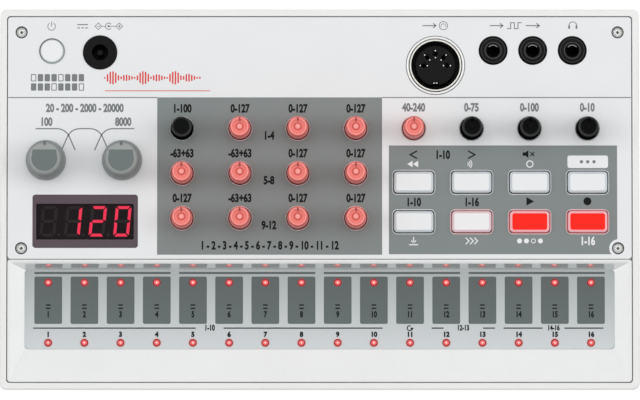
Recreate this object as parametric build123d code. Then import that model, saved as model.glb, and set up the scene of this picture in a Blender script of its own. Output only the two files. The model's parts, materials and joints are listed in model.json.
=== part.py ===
from build123d import *
from math import cos, radians, sin, tan
import os

# Desktop audio sampler: flat white case, knob field, button field, a row of sockets
# and a sunken strip of touch keys. +X is to the player's right, +Y to the back, +Z up.
# All sizes are in millimetres. The origin is on the table, under the middle of the case.

# Widths across the panel, from its left edge to its right edge
left_margin = 7.6
window_width = 31.6
window_to_column = 13.4
column_count = 8
block_columns = 4
column_pitch = 17.47
right_margin = 13.3

# Depths along the panel, from its front edge to its back edge
bezel_depth = 36.9
panel_seam = 0.2
front_row_margin = 12.3
row_pitch = 13.55
row_to_header = 9.1
header_depth = 24.6

# Case shells
rim_width = 2.1
rim_rise = 0.2
panel_gap = 0.3
panel_corner = 1.0
case_corner = 2.0
wall = 2.2
upper_draft = 1.2
base_inset = 8.5
base_corner = 5.0
lower_height = 18.4
rim_round = 0.5
ledge_reach = 1.9
ledge_height = 2.4

# Heights, from the table up to the panel
foot_stand = 1.6
base_skin = 2.0
cover_flange = 1.2
slide_gap = 0.3
cell_diameter = 14.5
cell_play = 0.4
bay_roof = 1.5
board_gap = 0.8
board_thickness = 1.6
pot_height = 6.2
pot_head_room = 1.2
panel_thickness = 2.0

# Small knobs, each moulded in one with its spindle
knob_hole = 7.0
knob_hole_bevel = 0.28
knob_base = 6.45
knob_top = 5.95
knob_height = 10.3
knob_sink = 1.2
knob_round = 0.5
knob_rim = 0.2
knob_dish_depth = 0.9
knob_boss = 2.2
knob_boss_drop = 0.4
knob_notch_width = 0.55
knob_notch_depth = 0.6
spindle = 3.0
turning_gap = 0.3
pot_width = 9.8
pot_floor = 0.6

# Large knobs on metal shafts
large_knob_skirt = 12.15
large_knob_shoulder = 10.0
large_knob_top = 7.9
large_knob_height = 11.3
large_knob_lift = 0.4
large_knob_bevel = 1.1
large_knob_wall = 1.6
large_chord = 2.5
large_facet_run = 3.1
large_facet_drop = 3.2
large_notch = 0.8
large_notch_run = 1.7
large_row_drop = 9.6
large_left_inset = 11.5
large_pitch = 23.0
large_shaft = 4.0
large_bush = 6.6
large_bush_rise = 2.0
large_pot_width = 11.8
shaft_into_knob = 6.0

# Rectangular buttons
button_width = 11.8
button_depth = 6.3
button_corner = 1.0
button_gap = 0.4
button_rise = 1.5
button_bevel = 0.65
button_bevel_drop = 0.45
button_flange = 0.8
button_flange_thick = 0.8
button_travel = 0.8
button_rest_gap = 0.15
button_front_margin = 11.2
button_row_pitch = 11.9
button_stem = 3.0
button_hole_bevel = 0.25
switch_width = 6.0
switch_height = 3.5
plunger = 3.2
plunger_height = 0.8
switch_clear = 0.1

# Display
window_depth = 15.9
window_thickness = 1.2
window_corner = 0.8
window_fit = 0.1
window_side_ledge = 0.95
window_front_ledge = 2.5
window_front_margin = 3.4
module_inset = 0.3

# Sockets and the power button in the header
power_left_inset = 13.3
power_back_inset = 10.3
power_hole = 7.8
power_cap = 7.0
power_rise = 0.7
dc_left_inset = 27.8
dc_back_inset = 10.7
dc_collar = 10.1
dc_hole = 4.9
dc_pin = 1.65
dc_pin_drop = 1.2
dc_depth = 10.0
dc_body_width = 11.0
socket_fit = 0.15
socket_rise = 0.3
midi_right_inset = 59.1
midi_back_inset = 14.6
midi_bevel_ring = 17.9
midi_shield_outer = 15.6
midi_shield_inner = 14.75
midi_core = 11.9
midi_core_drop = 1.2
midi_depth = 9.0
midi_pin_circle = 7.0
midi_pin_hole = 1.9
midi_pin_count = 5
midi_pin_step = 45.0
midi_contact_bore = 1.5
midi_key_width = 2.2
midi_key_depth = 1.0
midi_body_width = 18.0
mini_right_inset = 17.8
mini_back_inset = 10.1
mini_pitch = 11.95
mini_count = 3
mini_collar = 8.5
mini_bore = 3.6
mini_depth = 14.0
mini_bevel = 0.5
mini_mouth_bevel = 0.3
mini_body_width = 9.2
jack_drop = 13.9

# Sunken strip of touch keys
side_slope = 5.1
back_border = 0.2
back_lip = 1.2
back_wall_angle = 55.0
front_slope = 10.0
bezel_border = 0.8
basin_depth = 3.0
tray_floor = 2.3
tray_back_wall = 1.0
tray_front_wall = 3.4
plate_corner = 1.5
plate_fit = 0.1
step_count = 16
key_edge_margin = 7.1
led_diameter = 2.3
led_fit = 0.12
led_rise = 0.55
led_back_inset = 3.9
led_front_inset = 1.9
touch_overlap = 1.6

# Fastenings
panel_screw_side = 4.1
panel_screw_back = 4.6
panel_screw_front = 3.2
panel_screw = 2.0
panel_screw_head = 3.0
panel_screw_head_height = 0.9
panel_screw_bore = 3.6
panel_screw_sink = 1.3
panel_screw_length = 6.0
panel_boss = 6.4
panel_boss_height = 8.0
case_screw = 2.6
case_screw_head = 4.6
case_screw_head_height = 1.8
case_screw_bore = 5.2
case_screw_length = 8.0
case_post = 7.0
case_post_height = 5.0
case_post_x_inset = 15.5
case_post_y_inset = 24.5
screw_seat = 4.0
rib = 2.0
board_post = 4.6
board_screw = 1.8
board_screw_head = 3.6
board_screw_head_height = 0.7
board_screw_grip = 4.0
screw_fit = 0.1
cross_width = 0.5
cross_depth = 0.5
cross_margin = 0.6
head_rim_share = 0.45

# Circuit boards
board_edge_gap = 1.5
board_header_gap = 1.5
board_corner_notch = 7.0
link_width = 16.0
link_thickness = 0.3
link_reach = 7.0
header_length = 20.0
header_width = 2.5

# Battery bay, its cells and its cover
cell_length = 50.5
cell_nub = 5.5
cell_nub_length = 1.3
cell_columns = 2
cell_rows = 3
cell_gap = 0.5
contact_space = 2.4
contact_thickness = 0.4
contact_size = 7.0
contact_tip = 2.6
bay_wall = 3.5
bay_front_wall = 1.5
bay_front_gap = 1.0
cover_flange_reach = 2.0
grip_count = 5
grip_width = 1.2
grip_depth = 0.6
grip_pitch = 2.6
grip_length = 18.0
grip_front_inset = 8.0

# Speaker and feet
speaker_diameter = 28.0
speaker_height = 11.0
speaker_flange = 1.0
speaker_flange_width = 3.0
speaker_magnet = 14.0
speaker_magnet_height = 4.0
speaker_seat = 1.5
speaker_seat_wall = 1.2
speaker_space = 2.0
cone_thickness = 0.6
cone_throat = 9.0
cone_gap = 0.4
grille_slot = 2.0
grille_pitch = 3.6
foot_diameter = 9.0
foot_sink = 0.8
foot_edge = 5.6
foot_fit = 0.1
foot_round = 0.4

# How far a cutting shape runs past the face that it opens
reach = 10.0

# Plan sizes worked out from the widths and depths above
panel_width = left_margin + window_width + window_to_column + (column_count - 1) * column_pitch + right_margin
panel_depth = bezel_depth + panel_seam + front_row_margin + 2 * row_pitch + row_to_header + header_depth
opening_width = panel_width + 2 * panel_gap
opening_depth = panel_depth + 2 * panel_gap
case_width = opening_width + 2 * rim_width
case_depth = opening_depth + 2 * rim_width
panel_left = -panel_width / 2
panel_right = panel_width / 2
panel_front = -panel_depth / 2
panel_back = panel_depth / 2
bezel_back = panel_front + bezel_depth
top_panel_front = bezel_back + panel_seam
row_y = [top_panel_front + front_row_margin + row * row_pitch for row in (2, 1, 0)]
header_y = row_y[0] + row_to_header
column_x = [panel_right - right_margin - (column_count - 1 - i) * column_pitch for i in range(column_count)]
button_y = [top_panel_front + button_front_margin + row * button_row_pitch for row in (1, 0)]

# Heights worked out from the stack above
base_z = foot_stand
floor_z = base_z + base_skin
split_z = base_z + lower_height
flange_z = floor_z + slide_gap
flange_top = flange_z + cover_flange
cell_z = flange_top + cell_play
roof_z = cell_z + cell_diameter + cell_play
roof_top = roof_z + bay_roof
board_z = roof_top + board_gap
board_top = board_z + board_thickness
panel_under = board_top + pot_height + pot_head_room
panel_top = panel_under + panel_thickness
rim_top = panel_top + rim_rise
ledge_z = panel_under - ledge_height
jack_board_top = panel_under - jack_drop
jack_board_z = jack_board_top - board_thickness
plate_top = panel_top - basin_depth
tray_z = plate_top - tray_floor
touch_board_z = tray_z - board_thickness
switch_top = board_top + switch_height + plunger_height
stem_z = switch_top + button_travel + switch_clear
flange_rest = panel_under - button_rest_gap

# Places worked out from the plan
ledge_width = opening_width - 2 * ledge_reach
ledge_depth = opening_depth - 2 * ledge_reach
base_width = case_width - 2 * base_inset
base_depth = case_depth - 2 * base_inset
split_width = case_width - 2 * upper_draft
split_depth = case_depth - 2 * upper_draft
window_x = panel_left + left_margin + window_width / 2
window_y = top_panel_front + window_front_margin + window_depth / 2
large_x = [panel_left + large_left_inset + i * large_pitch for i in range(2)]
large_y = row_y[0] - large_row_drop
power_place = (panel_left + power_left_inset, panel_back - power_back_inset)
dc_place = (panel_left + dc_left_inset, panel_back - dc_back_inset)
midi_place = (panel_right - midi_right_inset, panel_back - midi_back_inset)
mini_x = [panel_right - mini_right_inset - (mini_count - 1 - i) * mini_pitch for i in range(mini_count)]
mini_places = [(x, panel_back - mini_back_inset) for x in mini_x]
plate_width = panel_width - 2 * side_slope
back_wall_z = panel_top - back_lip * (1 - cos(radians(back_wall_angle)))
mouth_back = bezel_back - back_border
back_wall_y = mouth_back - back_lip * sin(radians(back_wall_angle))
plate_back = back_wall_y - (back_wall_z - plate_top) / tan(radians(back_wall_angle))
plate_front = panel_front + front_slope
plate_depth = plate_back - plate_front
plate_y = (plate_back + plate_front) / 2
step_pitch = (plate_width - 2 * key_edge_margin) / (step_count - 1)
step_x = [(i - (step_count - 1) / 2) * step_pitch for i in range(step_count)]
led_rows = [plate_back - led_back_inset, plate_front + led_front_inset]
panel_screw_x = panel_right - panel_screw_side
panel_screw_y = [panel_back - panel_screw_back, top_panel_front + panel_screw_front]
panel_screws = [(side * panel_screw_x, y) for side in (-1, 1) for y in panel_screw_y]
case_post_x = case_width / 2 - case_post_x_inset
case_post_y = case_depth / 2 - case_post_y_inset
case_posts = [(sx * case_post_x, sy * case_post_y) for sx in (-1, 1) for sy in (-1, 1)]
board_half = ledge_width / 2 - board_edge_gap
board_front = top_panel_front + board_header_gap
board_back = header_y - board_header_gap
board_post_y = board_back - board_post
board_posts = [(-board_half + board_post / 2, board_post_y),
               ((column_x[0] + window_x + window_width / 2) / 2 - board_post / 2, board_post_y),
               ((column_x[block_columns - 1] + column_x[block_columns]) / 2, board_post_y),
               (board_half - board_post / 2, board_post_y),
               (-board_half + board_post / 2, window_y),
               ((column_x[block_columns + 1] + column_x[block_columns + 2]) / 2,
                board_front + board_post / 2 + slide_gap)]
jack_front = case_post_y + case_post / 2 + board_edge_gap
jack_back = panel_back - board_edge_gap * 2
jack_left = power_place[0] - power_hole
jack_right = mini_x[-1] + mini_body_width / 2 + board_edge_gap
jack_tongue_left = -header_length
jack_tongue_right = mini_x[1] + mini_body_width / 2
jack_tongue_front = board_back - header_width - board_edge_gap
jack_post_y = (jack_front + jack_back) / 2 + board_post / 2
jack_posts = [((dc_place[0] + midi_place[0]) / 2 - header_length, jack_post_y),
              (0.0, jack_post_y),
              ((mini_x[0] + mini_x[1]) / 2, jack_tongue_front + header_width + board_post)]
bay_inner_width = cell_columns * cell_length + 2 * contact_space
bay_inner_depth = cell_rows * cell_diameter + (cell_rows - 1) * cell_gap + 2 * cell_play
bay_left = -case_post_x + case_post / 2 + bay_wall + 2 * slide_gap
bay_x = bay_left + bay_inner_width / 2
bay_front = -base_depth / 2 + wall + bay_front_gap + bay_front_wall
bay_back = bay_front + bay_inner_depth
bay_y = (bay_front + bay_back) / 2
cover_back = bay_back + cell_gap
cover_flange_width = bay_inner_width + 2 * cover_flange_reach
bay_right = bay_x + bay_inner_width / 2 + bay_wall
speaker_reach = speaker_diameter / 2 + slide_gap + speaker_seat_wall + speaker_space
speaker_x = case_post_x - case_post / 2 - speaker_reach
speaker_y = bay_back + bay_wall + speaker_reach
foot_x = base_width / 2 - foot_edge
foot_y = base_depth / 2 - foot_edge
feet = [(sx * foot_x, sy * foot_y) for sx in (-1, 1) for sy in (-1, 1)]


def slab(width, depth, low, high, x=0.0, y=0.0, corner=0.0):
    """Upright block between two heights, with its vertical corners rounded if asked."""
    outline = RectangleRounded(width, depth, corner) if corner else Rectangle(width, depth)
    return Pos(x, y, low) * extrude(outline, high - low)


def span(x_low, x_high, y_low, y_high, low, high):
    """Upright block given by its two corners in plan."""
    return slab(x_high - x_low, y_high - y_low, low, high, (x_low + x_high) / 2, (y_low + y_high) / 2)


def rod(diameter, low, high, x=0.0, y=0.0):
    """Upright round bar between two heights."""
    return Pos(x, y, low) * extrude(Circle(diameter / 2), high - low)


def cone(diameter_low, diameter_high, low, high, x=0.0, y=0.0):
    """Upright tapered round bar between two heights."""
    return Pos(x, y, (low + high) / 2) * Cone(diameter_low / 2, diameter_high / 2, high - low)


def tapered(low_size, low_corner, low, high_size, high_corner, high):
    """Block whose rounded outline changes evenly from one height to another."""
    foot = Pos(0, 0, low) * RectangleRounded(low_size[0], low_size[1], low_corner)
    head = Pos(0, 0, high) * RectangleRounded(high_size[0], high_size[1], high_corner)
    return loft([foot, head])


def turned(*lines):
    """Solid of revolution about the upright axis, from the lines of its closed half outline."""
    edges = [edge for line in lines for edge in line.edges()]
    return revolve(Plane.XZ * make_face(edges), Axis.Z)


def flat_bevel_hole(width, depth, corner, bevel, x, y):
    """Rectangular panel hole with a bevel round its upper edge."""
    hole = slab(width, depth, panel_under - reach, panel_top + reach, x, y, corner)
    narrow = Pos(x, y, panel_top - bevel) * RectangleRounded(width, depth, corner)
    wide = Pos(x, y, panel_top) * RectangleRounded(width + 2 * bevel, depth + 2 * bevel, corner + bevel)
    return [hole, loft([narrow, wide])]


def round_bevel_hole(diameter, bevel, x, y):
    """Round panel hole with a bevel round its upper edge."""
    hole = rod(diameter, panel_under - reach, panel_top + reach, x, y)
    return [hole, cone(diameter, diameter + 2 * bevel, panel_top - bevel, panel_top, x, y)]


def driven_screw(shank, length, head, head_height, seat_z, x, y, up):
    """Screw with a domed head and a crossed recess; up is 1 where its head is above its shank, -1 below."""
    rim_z = head_height * head_rim_share
    side = Polyline((0, head_height), (0, -length), (shank / 2, -length), (shank / 2, 0), (head / 2, 0),
                    (head / 2, rim_z))
    dome = TangentArc((0, head_height), (head / 2, rim_z), tangent=(1, 0))
    body = turned(side, dome)
    arm = head - 2 * cross_margin
    for size in ((arm, cross_width), (cross_width, arm)):
        body -= slab(size[0], size[1], head_height - cross_depth, head_height)
    tilt = 0 if up > 0 else 180
    return Pos(x, y, seat_z) * Rot(tilt, 0, 0) * body


def group(solids):
    """Several separate solids kept together as one set."""
    return Compound(children=[piece.solid() for piece in solids])


# Upper case: rim, side walls, the ledge that carries both panels, and the screw bosses
def make_upper_case():
    outer = tapered((split_width, split_depth), case_corner, split_z,
                    (case_width, case_depth), case_corner, rim_top)
    outer = fillet(outer.faces().sort_by(Axis.Z)[-1].edges(), rim_round)
    shell = outer - slab(opening_width, opening_depth, panel_under, rim_top + reach, corner=panel_corner)
    shell -= slab(ledge_width, ledge_depth, ledge_z - reach, panel_under + reach, corner=panel_corner)
    rise = (ledge_z - split_z) / (rim_top - split_z)
    spread = 2 * upper_draft * rise
    inner_low = (split_width - 2 * wall, split_depth - 2 * wall)
    inner_high = (inner_low[0] + spread, inner_low[1] + spread)
    shell -= tapered(inner_low, panel_corner, split_z, inner_high, panel_corner, ledge_z)
    for x, y in panel_screws:
        shell += rod(panel_boss, panel_under - panel_boss_height, panel_under, x, y)
    for x, y in case_posts:
        side_wall = (split_width - wall) / 2 * (1 if x > 0 else -1)
        shell += rod(case_post, split_z, split_z + case_post_height, x, y)
        shell += span(min(x, side_wall), max(x, side_wall), y - rib / 2, y + rib / 2,
                      split_z, split_z + case_post_height)
    for x, y in panel_screws:
        shell -= rod(panel_screw + 2 * screw_fit, panel_under - panel_screw_length, panel_under, x, y)
    for x, y in case_posts:
        depth = case_screw_length - screw_seat + screw_fit
        shell -= rod(case_screw + 2 * screw_fit, split_z, split_z + depth, x, y)
    return shell


# Lower case: tapered tub with the battery bay, speaker seat, screw tubes and foot seats
def lower_outline():
    return tapered((base_width, base_depth), base_corner, base_z,
                   (split_width, split_depth), case_corner, split_z)


def make_lower_case():
    outer = lower_outline()
    inner = tapered((base_width - 2 * wall, base_depth - 2 * wall), base_corner - wall, floor_z,
                    (split_width - 2 * wall, split_depth - 2 * wall), panel_corner, split_z)
    tub = outer - inner
    bay_half = bay_inner_width / 2
    bay = span(bay_x - bay_half - bay_wall, bay_right, bay_front - bay_front_wall, bay_back + bay_wall,
               floor_z, roof_top)
    tub += bay
    for x, y in case_posts:
        tub += rod(case_post, base_z, split_z, x, y)
    tub += speaker_ring()
    tub -= span(bay_x - bay_half, bay_x + bay_half, bay_front, bay_back, floor_z, roof_z)
    tub -= cover_opening()
    for x, y in case_posts:
        tub -= rod(case_screw_bore, base_z, split_z - screw_seat, x, y)
        tub -= rod(case_screw + 2 * screw_fit, split_z - screw_seat, split_z, x, y)
    for x, y in feet:
        tub -= rod(foot_diameter + 2 * foot_fit, base_z, base_z + foot_sink, x, y)
    return tub - grille_slots()


def speaker_ring():
    size = speaker_diameter + 2 * slide_gap
    ring = rod(size + 2 * speaker_seat_wall, floor_z, floor_z + speaker_seat, speaker_x, speaker_y)
    return ring - rod(size, floor_z, floor_z + speaker_seat, speaker_x, speaker_y)


def cover_opening():
    """Cut through the base and the lower front wall for the sliding battery cover."""
    half = bay_inner_width / 2 + slide_gap
    flange_half = cover_flange_width / 2 + slide_gap
    front = -case_depth / 2
    back = cover_back + slide_gap
    lower = span(bay_x - half, bay_x + half, front, back, base_z, floor_z)
    upper = span(bay_x - flange_half, bay_x + flange_half, front, back, floor_z, flange_top + slide_gap)
    return [lower, upper]


def grille_slots():
    """Sound slots under the speaker, each as long as the round cone allows."""
    slots = []
    radius = speaker_diameter / 2 - speaker_flange_width
    per_side = int((radius ** 2 - grille_slot ** 2) ** 0.5 / grille_pitch)
    for i in range(-per_side, per_side + 1):
        offset = i * grille_pitch
        length = 2 * (radius ** 2 - offset ** 2) ** 0.5
        slot = extrude(SlotOverall(length, grille_slot), base_skin)
        slots.append(Pos(speaker_x, speaker_y + offset, base_z) * slot)
    return slots


# Battery cover: a plate in the plane of the base, held by flanges that run above the skin
def make_battery_cover():
    outer = lower_outline()
    half = bay_inner_width / 2
    flange_half = cover_flange_width / 2
    front = -case_depth / 2
    plate = span(bay_x - half, bay_x + half, front, cover_back, base_z, flange_top)
    flange = span(bay_x - flange_half, bay_x + flange_half, front, cover_back, flange_z, flange_top)
    cover = (plate + flange) & outer
    for i in range(grip_count):
        y = -base_depth / 2 + grip_front_inset + i * grip_pitch
        cover -= slab(grip_length, grip_width, base_z, base_z + grip_depth, bay_x, y)
    return cover


# Top panel: flat plate with every hole of the knob, button, display and socket fields
def make_top_panel():
    depth = panel_back - top_panel_front
    middle = (panel_back + top_panel_front) / 2
    panel = slab(panel_width, depth, panel_under, panel_top, 0, middle, panel_corner)
    panel += [rod(board_post, board_top, panel_under, x, y) for x, y in board_posts]
    panel += [rod(board_post, jack_board_top, panel_under, x, y) for x, y in jack_posts]
    cuts = []
    for x, y in small_knob_places():
        cuts += round_bevel_hole(knob_hole, knob_hole_bevel, x, y)
    for x in large_x:
        cuts.append(rod(large_bush + 2 * slide_gap, panel_under, panel_top, x, large_y))
    for x, y in button_places():
        cuts += flat_bevel_hole(button_width + 2 * button_gap, button_depth + 2 * button_gap,
                                button_corner + button_gap, button_hole_bevel, x, y)
    cuts.append(rod(power_hole, panel_under, panel_top, *power_place))
    cuts += window_seat()
    cuts.append(rod(dc_collar + 2 * socket_fit, panel_under, panel_top, *dc_place))
    midi_hole = midi_shield_outer + 2 * socket_fit
    cuts += round_bevel_hole(midi_hole, (midi_bevel_ring - midi_hole) / 2, *midi_place)
    cuts += [rod(mini_collar + 2 * socket_fit, panel_under, panel_top, x, y) for x, y in mini_places]
    for x, y in panel_screws:
        cuts.append(rod(panel_screw_bore, panel_top - panel_screw_sink, panel_top, x, y))
        cuts.append(rod(panel_screw + 2 * screw_fit, panel_under, panel_top, x, y))
    pilot = board_screw + 2 * screw_fit
    cuts += [rod(pilot, board_top, board_top + board_screw_grip, x, y) for x, y in board_posts]
    cuts += [rod(pilot, jack_board_top, jack_board_top + board_screw_grip, x, y) for x, y in jack_posts]
    return panel - cuts


def window_seat():
    seat = slab(window_width + 2 * window_fit, window_depth + 2 * window_fit, panel_top - window_thickness,
                panel_top, window_x, window_y, window_corner + window_fit)
    light = slab(window_width - 2 * window_side_ledge, window_depth - 2 * window_front_ledge,
                 panel_under, panel_top, window_x, window_y)
    return [seat, light]


def small_knob_places():
    """Twelve knobs on the left block, then four more along the back row."""
    block = [(x, y) for y in row_y for x in column_x[:block_columns]]
    return block + [(x, row_y[0]) for x in column_x[block_columns:]]


def button_places():
    return [(x, y) for y in button_y for x in column_x[block_columns:]]


# Touch strip: funnel-shaped bezel, key plate, sensor board and the two rows of lamps
def make_step_bezel():
    middle = (panel_front + bezel_back) / 2
    slab_top = slab(panel_width, bezel_depth, panel_under, panel_top, 0, middle, panel_corner)
    side = ledge_width / 2 - panel_gap
    front = panel_front + (panel_width - ledge_width) / 2 + panel_gap
    tray_front = plate_front - tray_front_wall
    tray_back = bezel_back - tray_back_wall
    funnel = loft([plan_rectangle(-side, side, front, bezel_back, panel_under),
                   plan_rectangle(-side, side, tray_front, tray_back, tray_z)])
    window = slab(plate_width + 2 * plate_fit, plate_depth + 2 * plate_fit, tray_z, plate_top,
                  0, plate_y, plate_corner + plate_fit)
    return slab_top + funnel - key_basin() - window


def key_basin():
    """Hollow over the keys: three plain slopes, and a steep back wall with a rounded lip."""
    rim = bezel_border
    mouth = plan_rectangle(panel_left + rim, panel_right - rim, panel_front + rim, mouth_back, panel_top)
    floor = plan_rectangle(-plate_width / 2, plate_width / 2, plate_front, mouth_back, plate_top)
    slope = radians(back_wall_angle)
    wall_line = Line((plate_back, plate_top), (back_wall_y, back_wall_z))
    lip = TangentArc((back_wall_y, back_wall_z), (mouth_back, panel_top), tangent=(cos(slope), sin(slope)))
    rest = Polyline((mouth_back, panel_top), (panel_front, panel_top), (panel_front, plate_top),
                    (plate_back, plate_top))
    section = make_face(wall_line.edges() + lip.edges() + rest.edges())
    return loft([mouth, floor]) & (Pos(panel_left, 0, 0) * extrude(Plane.YZ * section, panel_width))


def plan_rectangle(x_low, x_high, y_low, y_high, z):
    """Flat rectangle at a height, given by its corners in plan."""
    return Pos((x_low + x_high) / 2, (y_low + y_high) / 2, z) * Rectangle(x_high - x_low, y_high - y_low)


def make_step_plate():
    plate = slab(plate_width, plate_depth, tray_z, plate_top, 0, plate_y, plate_corner)
    hole = led_diameter + 2 * led_fit
    return plate - [rod(hole, tray_z, plate_top, x, y) for x in step_x for y in led_rows]


def make_step_leds():
    radius = led_diameter / 2
    crown = plate_top + led_rise
    body = Polyline((0, crown), (0, tray_z), (radius, tray_z), (radius, plate_top))
    lens = TangentArc((0, crown), (radius, plate_top), tangent=(1, 0))
    lamp = turned(body, lens)
    return group([Pos(x, y, 0) * lamp for x in step_x for y in led_rows])


def make_touch_board():
    return slab(plate_width + 2 * touch_overlap, plate_depth + 2 * touch_overlap, touch_board_z, tray_z,
                0, plate_y)


# Display: tinted window over a four-digit module
def make_display_window():
    return slab(window_width, window_depth, panel_top - window_thickness, panel_top,
                window_x, window_y, window_corner)


def make_display_module():
    return slab(window_width - 2 * module_inset, window_depth - 2 * module_inset, board_top, panel_under,
                window_x, window_y)


# Small knobs and what they turn in
def make_small_knob(x, y, dished):
    """Knob with its spindle; the pointer knobs have a dished top with a boss and a notch."""
    top = panel_top + knob_height
    low = panel_top - knob_sink
    base = knob_base / 2
    head = knob_top / 2
    rim = head - knob_round
    boss = knob_boss / 2
    spindle_z = board_top + pot_floor + turning_gap
    skirt = Polyline((0, spindle_z), (spindle / 2, spindle_z), (spindle / 2, low), (base, low),
                     (base, panel_top + knob_sink), (head, top - knob_round))
    shoulder = TangentArc((rim, top), (head, top - knob_round), tangent=(1, 0))
    if not dished:
        crown = Polyline((rim, top), (0, top), (0, spindle_z))
        return Pos(x, y, 0) * turned(skirt, shoulder, crown)
    dish_z = top - knob_dish_depth
    boss_z = top - knob_boss_drop
    edge = Line((rim, top), (rim - knob_rim, top))
    dish = TangentArc((boss, dish_z), (rim - knob_rim, top), tangent=(1, 0))
    dome = TangentArc((0, boss_z), (boss, dish_z), tangent=(1, 0))
    axis = Line((0, boss_z), (0, spindle_z))
    knob = turned(skirt, shoulder, edge, dish, dome, axis)
    knob -= span(-knob_notch_width / 2, knob_notch_width / 2, boss, base, top - knob_notch_depth, top)
    return Pos(x, y, 0) * knob


def pot_body(width, bore, x, y):
    """Square body that a spindle turns in, soldered to the main board."""
    body = slab(width, width, board_top, board_top + pot_height, x, y)
    return body - rod(bore, board_top + pot_floor, board_top + pot_height, x, y)


# Large knobs: tapered skirt, bevelled top and a sloping pointer facet
def make_large_knob(x):
    low = panel_top + large_knob_lift
    top = panel_top + large_knob_height
    shaft_top = low + shaft_into_knob
    hub = large_shaft / 2
    outline = [(hub, low + large_bush_rise), (large_bush / 2 + large_knob_wall / 2, low + large_bush_rise),
               (large_bush / 2 + large_knob_wall / 2, low), (large_knob_skirt / 2, low),
               (large_knob_shoulder / 2, top - large_knob_bevel), (large_knob_top / 2, top), (0, top),
               (0, shaft_top), (hub, shaft_top)]
    knob = turned(Polyline(*outline, close=True))
    facet_end = large_chord + large_facet_run
    facet_z = top - large_facet_drop
    facet = make_face(Polyline((large_chord, top), (facet_end, facet_z), (large_knob_skirt, facet_z),
                               (large_knob_skirt, top), close=True))
    knob -= Pos(-large_knob_skirt, 0, 0) * extrude(Plane.YZ * facet, 2 * large_knob_skirt)
    notch_start = facet_end - large_notch_run
    knob -= span(-large_notch / 2, large_notch / 2, notch_start, large_knob_skirt, facet_z, top)
    return Pos(x, large_y, 0) * knob


def make_large_shaft(x):
    low = board_top + pot_floor + turning_gap
    return rod(large_shaft, low, panel_top + large_knob_lift + shaft_into_knob, x, large_y)


def large_pot(x):
    bore = large_shaft + 2 * turning_gap
    bush_top = panel_top + large_knob_lift + large_bush_rise - turning_gap
    bush = rod(large_bush, board_top + pot_height, bush_top, x, large_y)
    body = slab(large_pot_width, large_pot_width, board_top, board_top + pot_height, x, large_y)
    return body + bush - rod(bore, board_top + pot_floor, bush_top, x, large_y)


# Push buttons and their switches
def make_button(x, y):
    top = panel_top + button_rise
    shoulder = top - button_bevel_drop
    flange_low = flange_rest - button_flange_thick
    cap = slab(button_width, button_depth, flange_low, shoulder, x, y, button_corner)
    crown_foot = RectangleRounded(button_width, button_depth, button_corner)
    crown_head = RectangleRounded(button_width - 2 * button_bevel, button_depth - 2 * button_bevel,
                                  button_corner - button_bevel / 2)
    crown = loft([Pos(x, y, shoulder) * crown_foot, Pos(x, y, top) * crown_head])
    flange = slab(button_width + 2 * button_flange, button_depth + 2 * button_flange,
                  flange_low, flange_rest, x, y)
    return cap + crown + flange + rod(button_stem, stem_z, flange_low, x, y)


def tact_switch(x, y, base):
    body = slab(switch_width, switch_width, base, base + switch_height, x, y)
    return body + rod(plunger, base + switch_height, base + switch_height + plunger_height, x, y)


def make_power_button():
    x, y = power_place
    flange_low = flange_rest - button_flange_thick
    cap = rod(power_cap, flange_low, panel_top + power_rise, x, y)
    cap = fillet(cap.faces().sort_by(Axis.Z)[-1].edges(), button_bevel_drop)
    flange = rod(power_hole + 2 * button_flange, flange_low, flange_rest, x, y)
    return cap + flange + rod(button_stem, stem_z, flange_low, x, y)


def make_power_switch():
    """Switch on a riser block, so that its plunger is as high as those on the main board."""
    x, y = power_place
    base = switch_top - switch_height - plunger_height
    return slab(switch_width, switch_width, jack_board_top, base, x, y) + tact_switch(x, y, base)


# Sockets, all standing on the jack board
def make_dc_jack():
    x, y = dc_place
    top = panel_top + socket_rise
    body = slab(dc_body_width, dc_body_width, jack_board_top, panel_under, x, y)
    body += rod(dc_collar, panel_under, top, x, y)
    body -= rod(dc_hole, top - dc_depth, top, x, y)
    pin = rod(dc_pin, top - dc_depth, top - dc_pin_drop, x, y)
    return group([body, pin])


def midi_pins():
    """Places of the contacts on a half circle round the back of the core."""
    x, y = midi_place
    arc = midi_pin_step * (midi_pin_count - 1)
    spots = PolarLocations(midi_pin_circle / 2, midi_pin_count, 0, arc, endpoint=True)
    return [(x + spot.position.X, y + spot.position.Y) for spot in spots]


def make_midi_socket():
    x, y = midi_place
    top = panel_top - midi_core_drop
    deck = panel_top - midi_depth
    body = slab(midi_body_width, midi_body_width, jack_board_top, deck, x, y)
    core = rod(midi_core, deck, top, x, y)
    key_y = y - midi_core / 2
    core -= span(x - midi_key_width / 2, x + midi_key_width / 2, key_y, key_y + midi_key_depth, deck, top)
    return body + core - [rod(midi_pin_hole, deck, top, *spot) for spot in midi_pins()]


def make_midi_shield():
    x, y = midi_place
    top = panel_top + socket_rise
    deck = panel_top - midi_depth
    return rod(midi_shield_outer, deck, top, x, y) - rod(midi_shield_inner, deck, top, x, y)


def make_midi_contacts():
    deck = panel_top - midi_depth
    top = panel_top - 2 * midi_core_drop
    outer = midi_pin_hole - 2 * screw_fit
    return group([rod(outer, deck, top, x, y) - rod(midi_contact_bore, deck, top, x, y)
                  for x, y in midi_pins()])


def mini_jack(x, y):
    top = panel_top + socket_rise
    body = slab(mini_body_width, mini_body_width, jack_board_top, panel_under, x, y)
    collar = rod(mini_collar, panel_under, top - mini_bevel, x, y)
    crown = cone(mini_collar, mini_collar - 2 * mini_bevel, top - mini_bevel, top, x, y)
    mouth = cone(mini_bore, mini_bore + 2 * mini_mouth_bevel, top - mini_mouth_bevel, top, x, y)
    return body + collar + crown - rod(mini_bore, top - mini_mouth_bevel - mini_depth, top, x, y) - mouth


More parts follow.
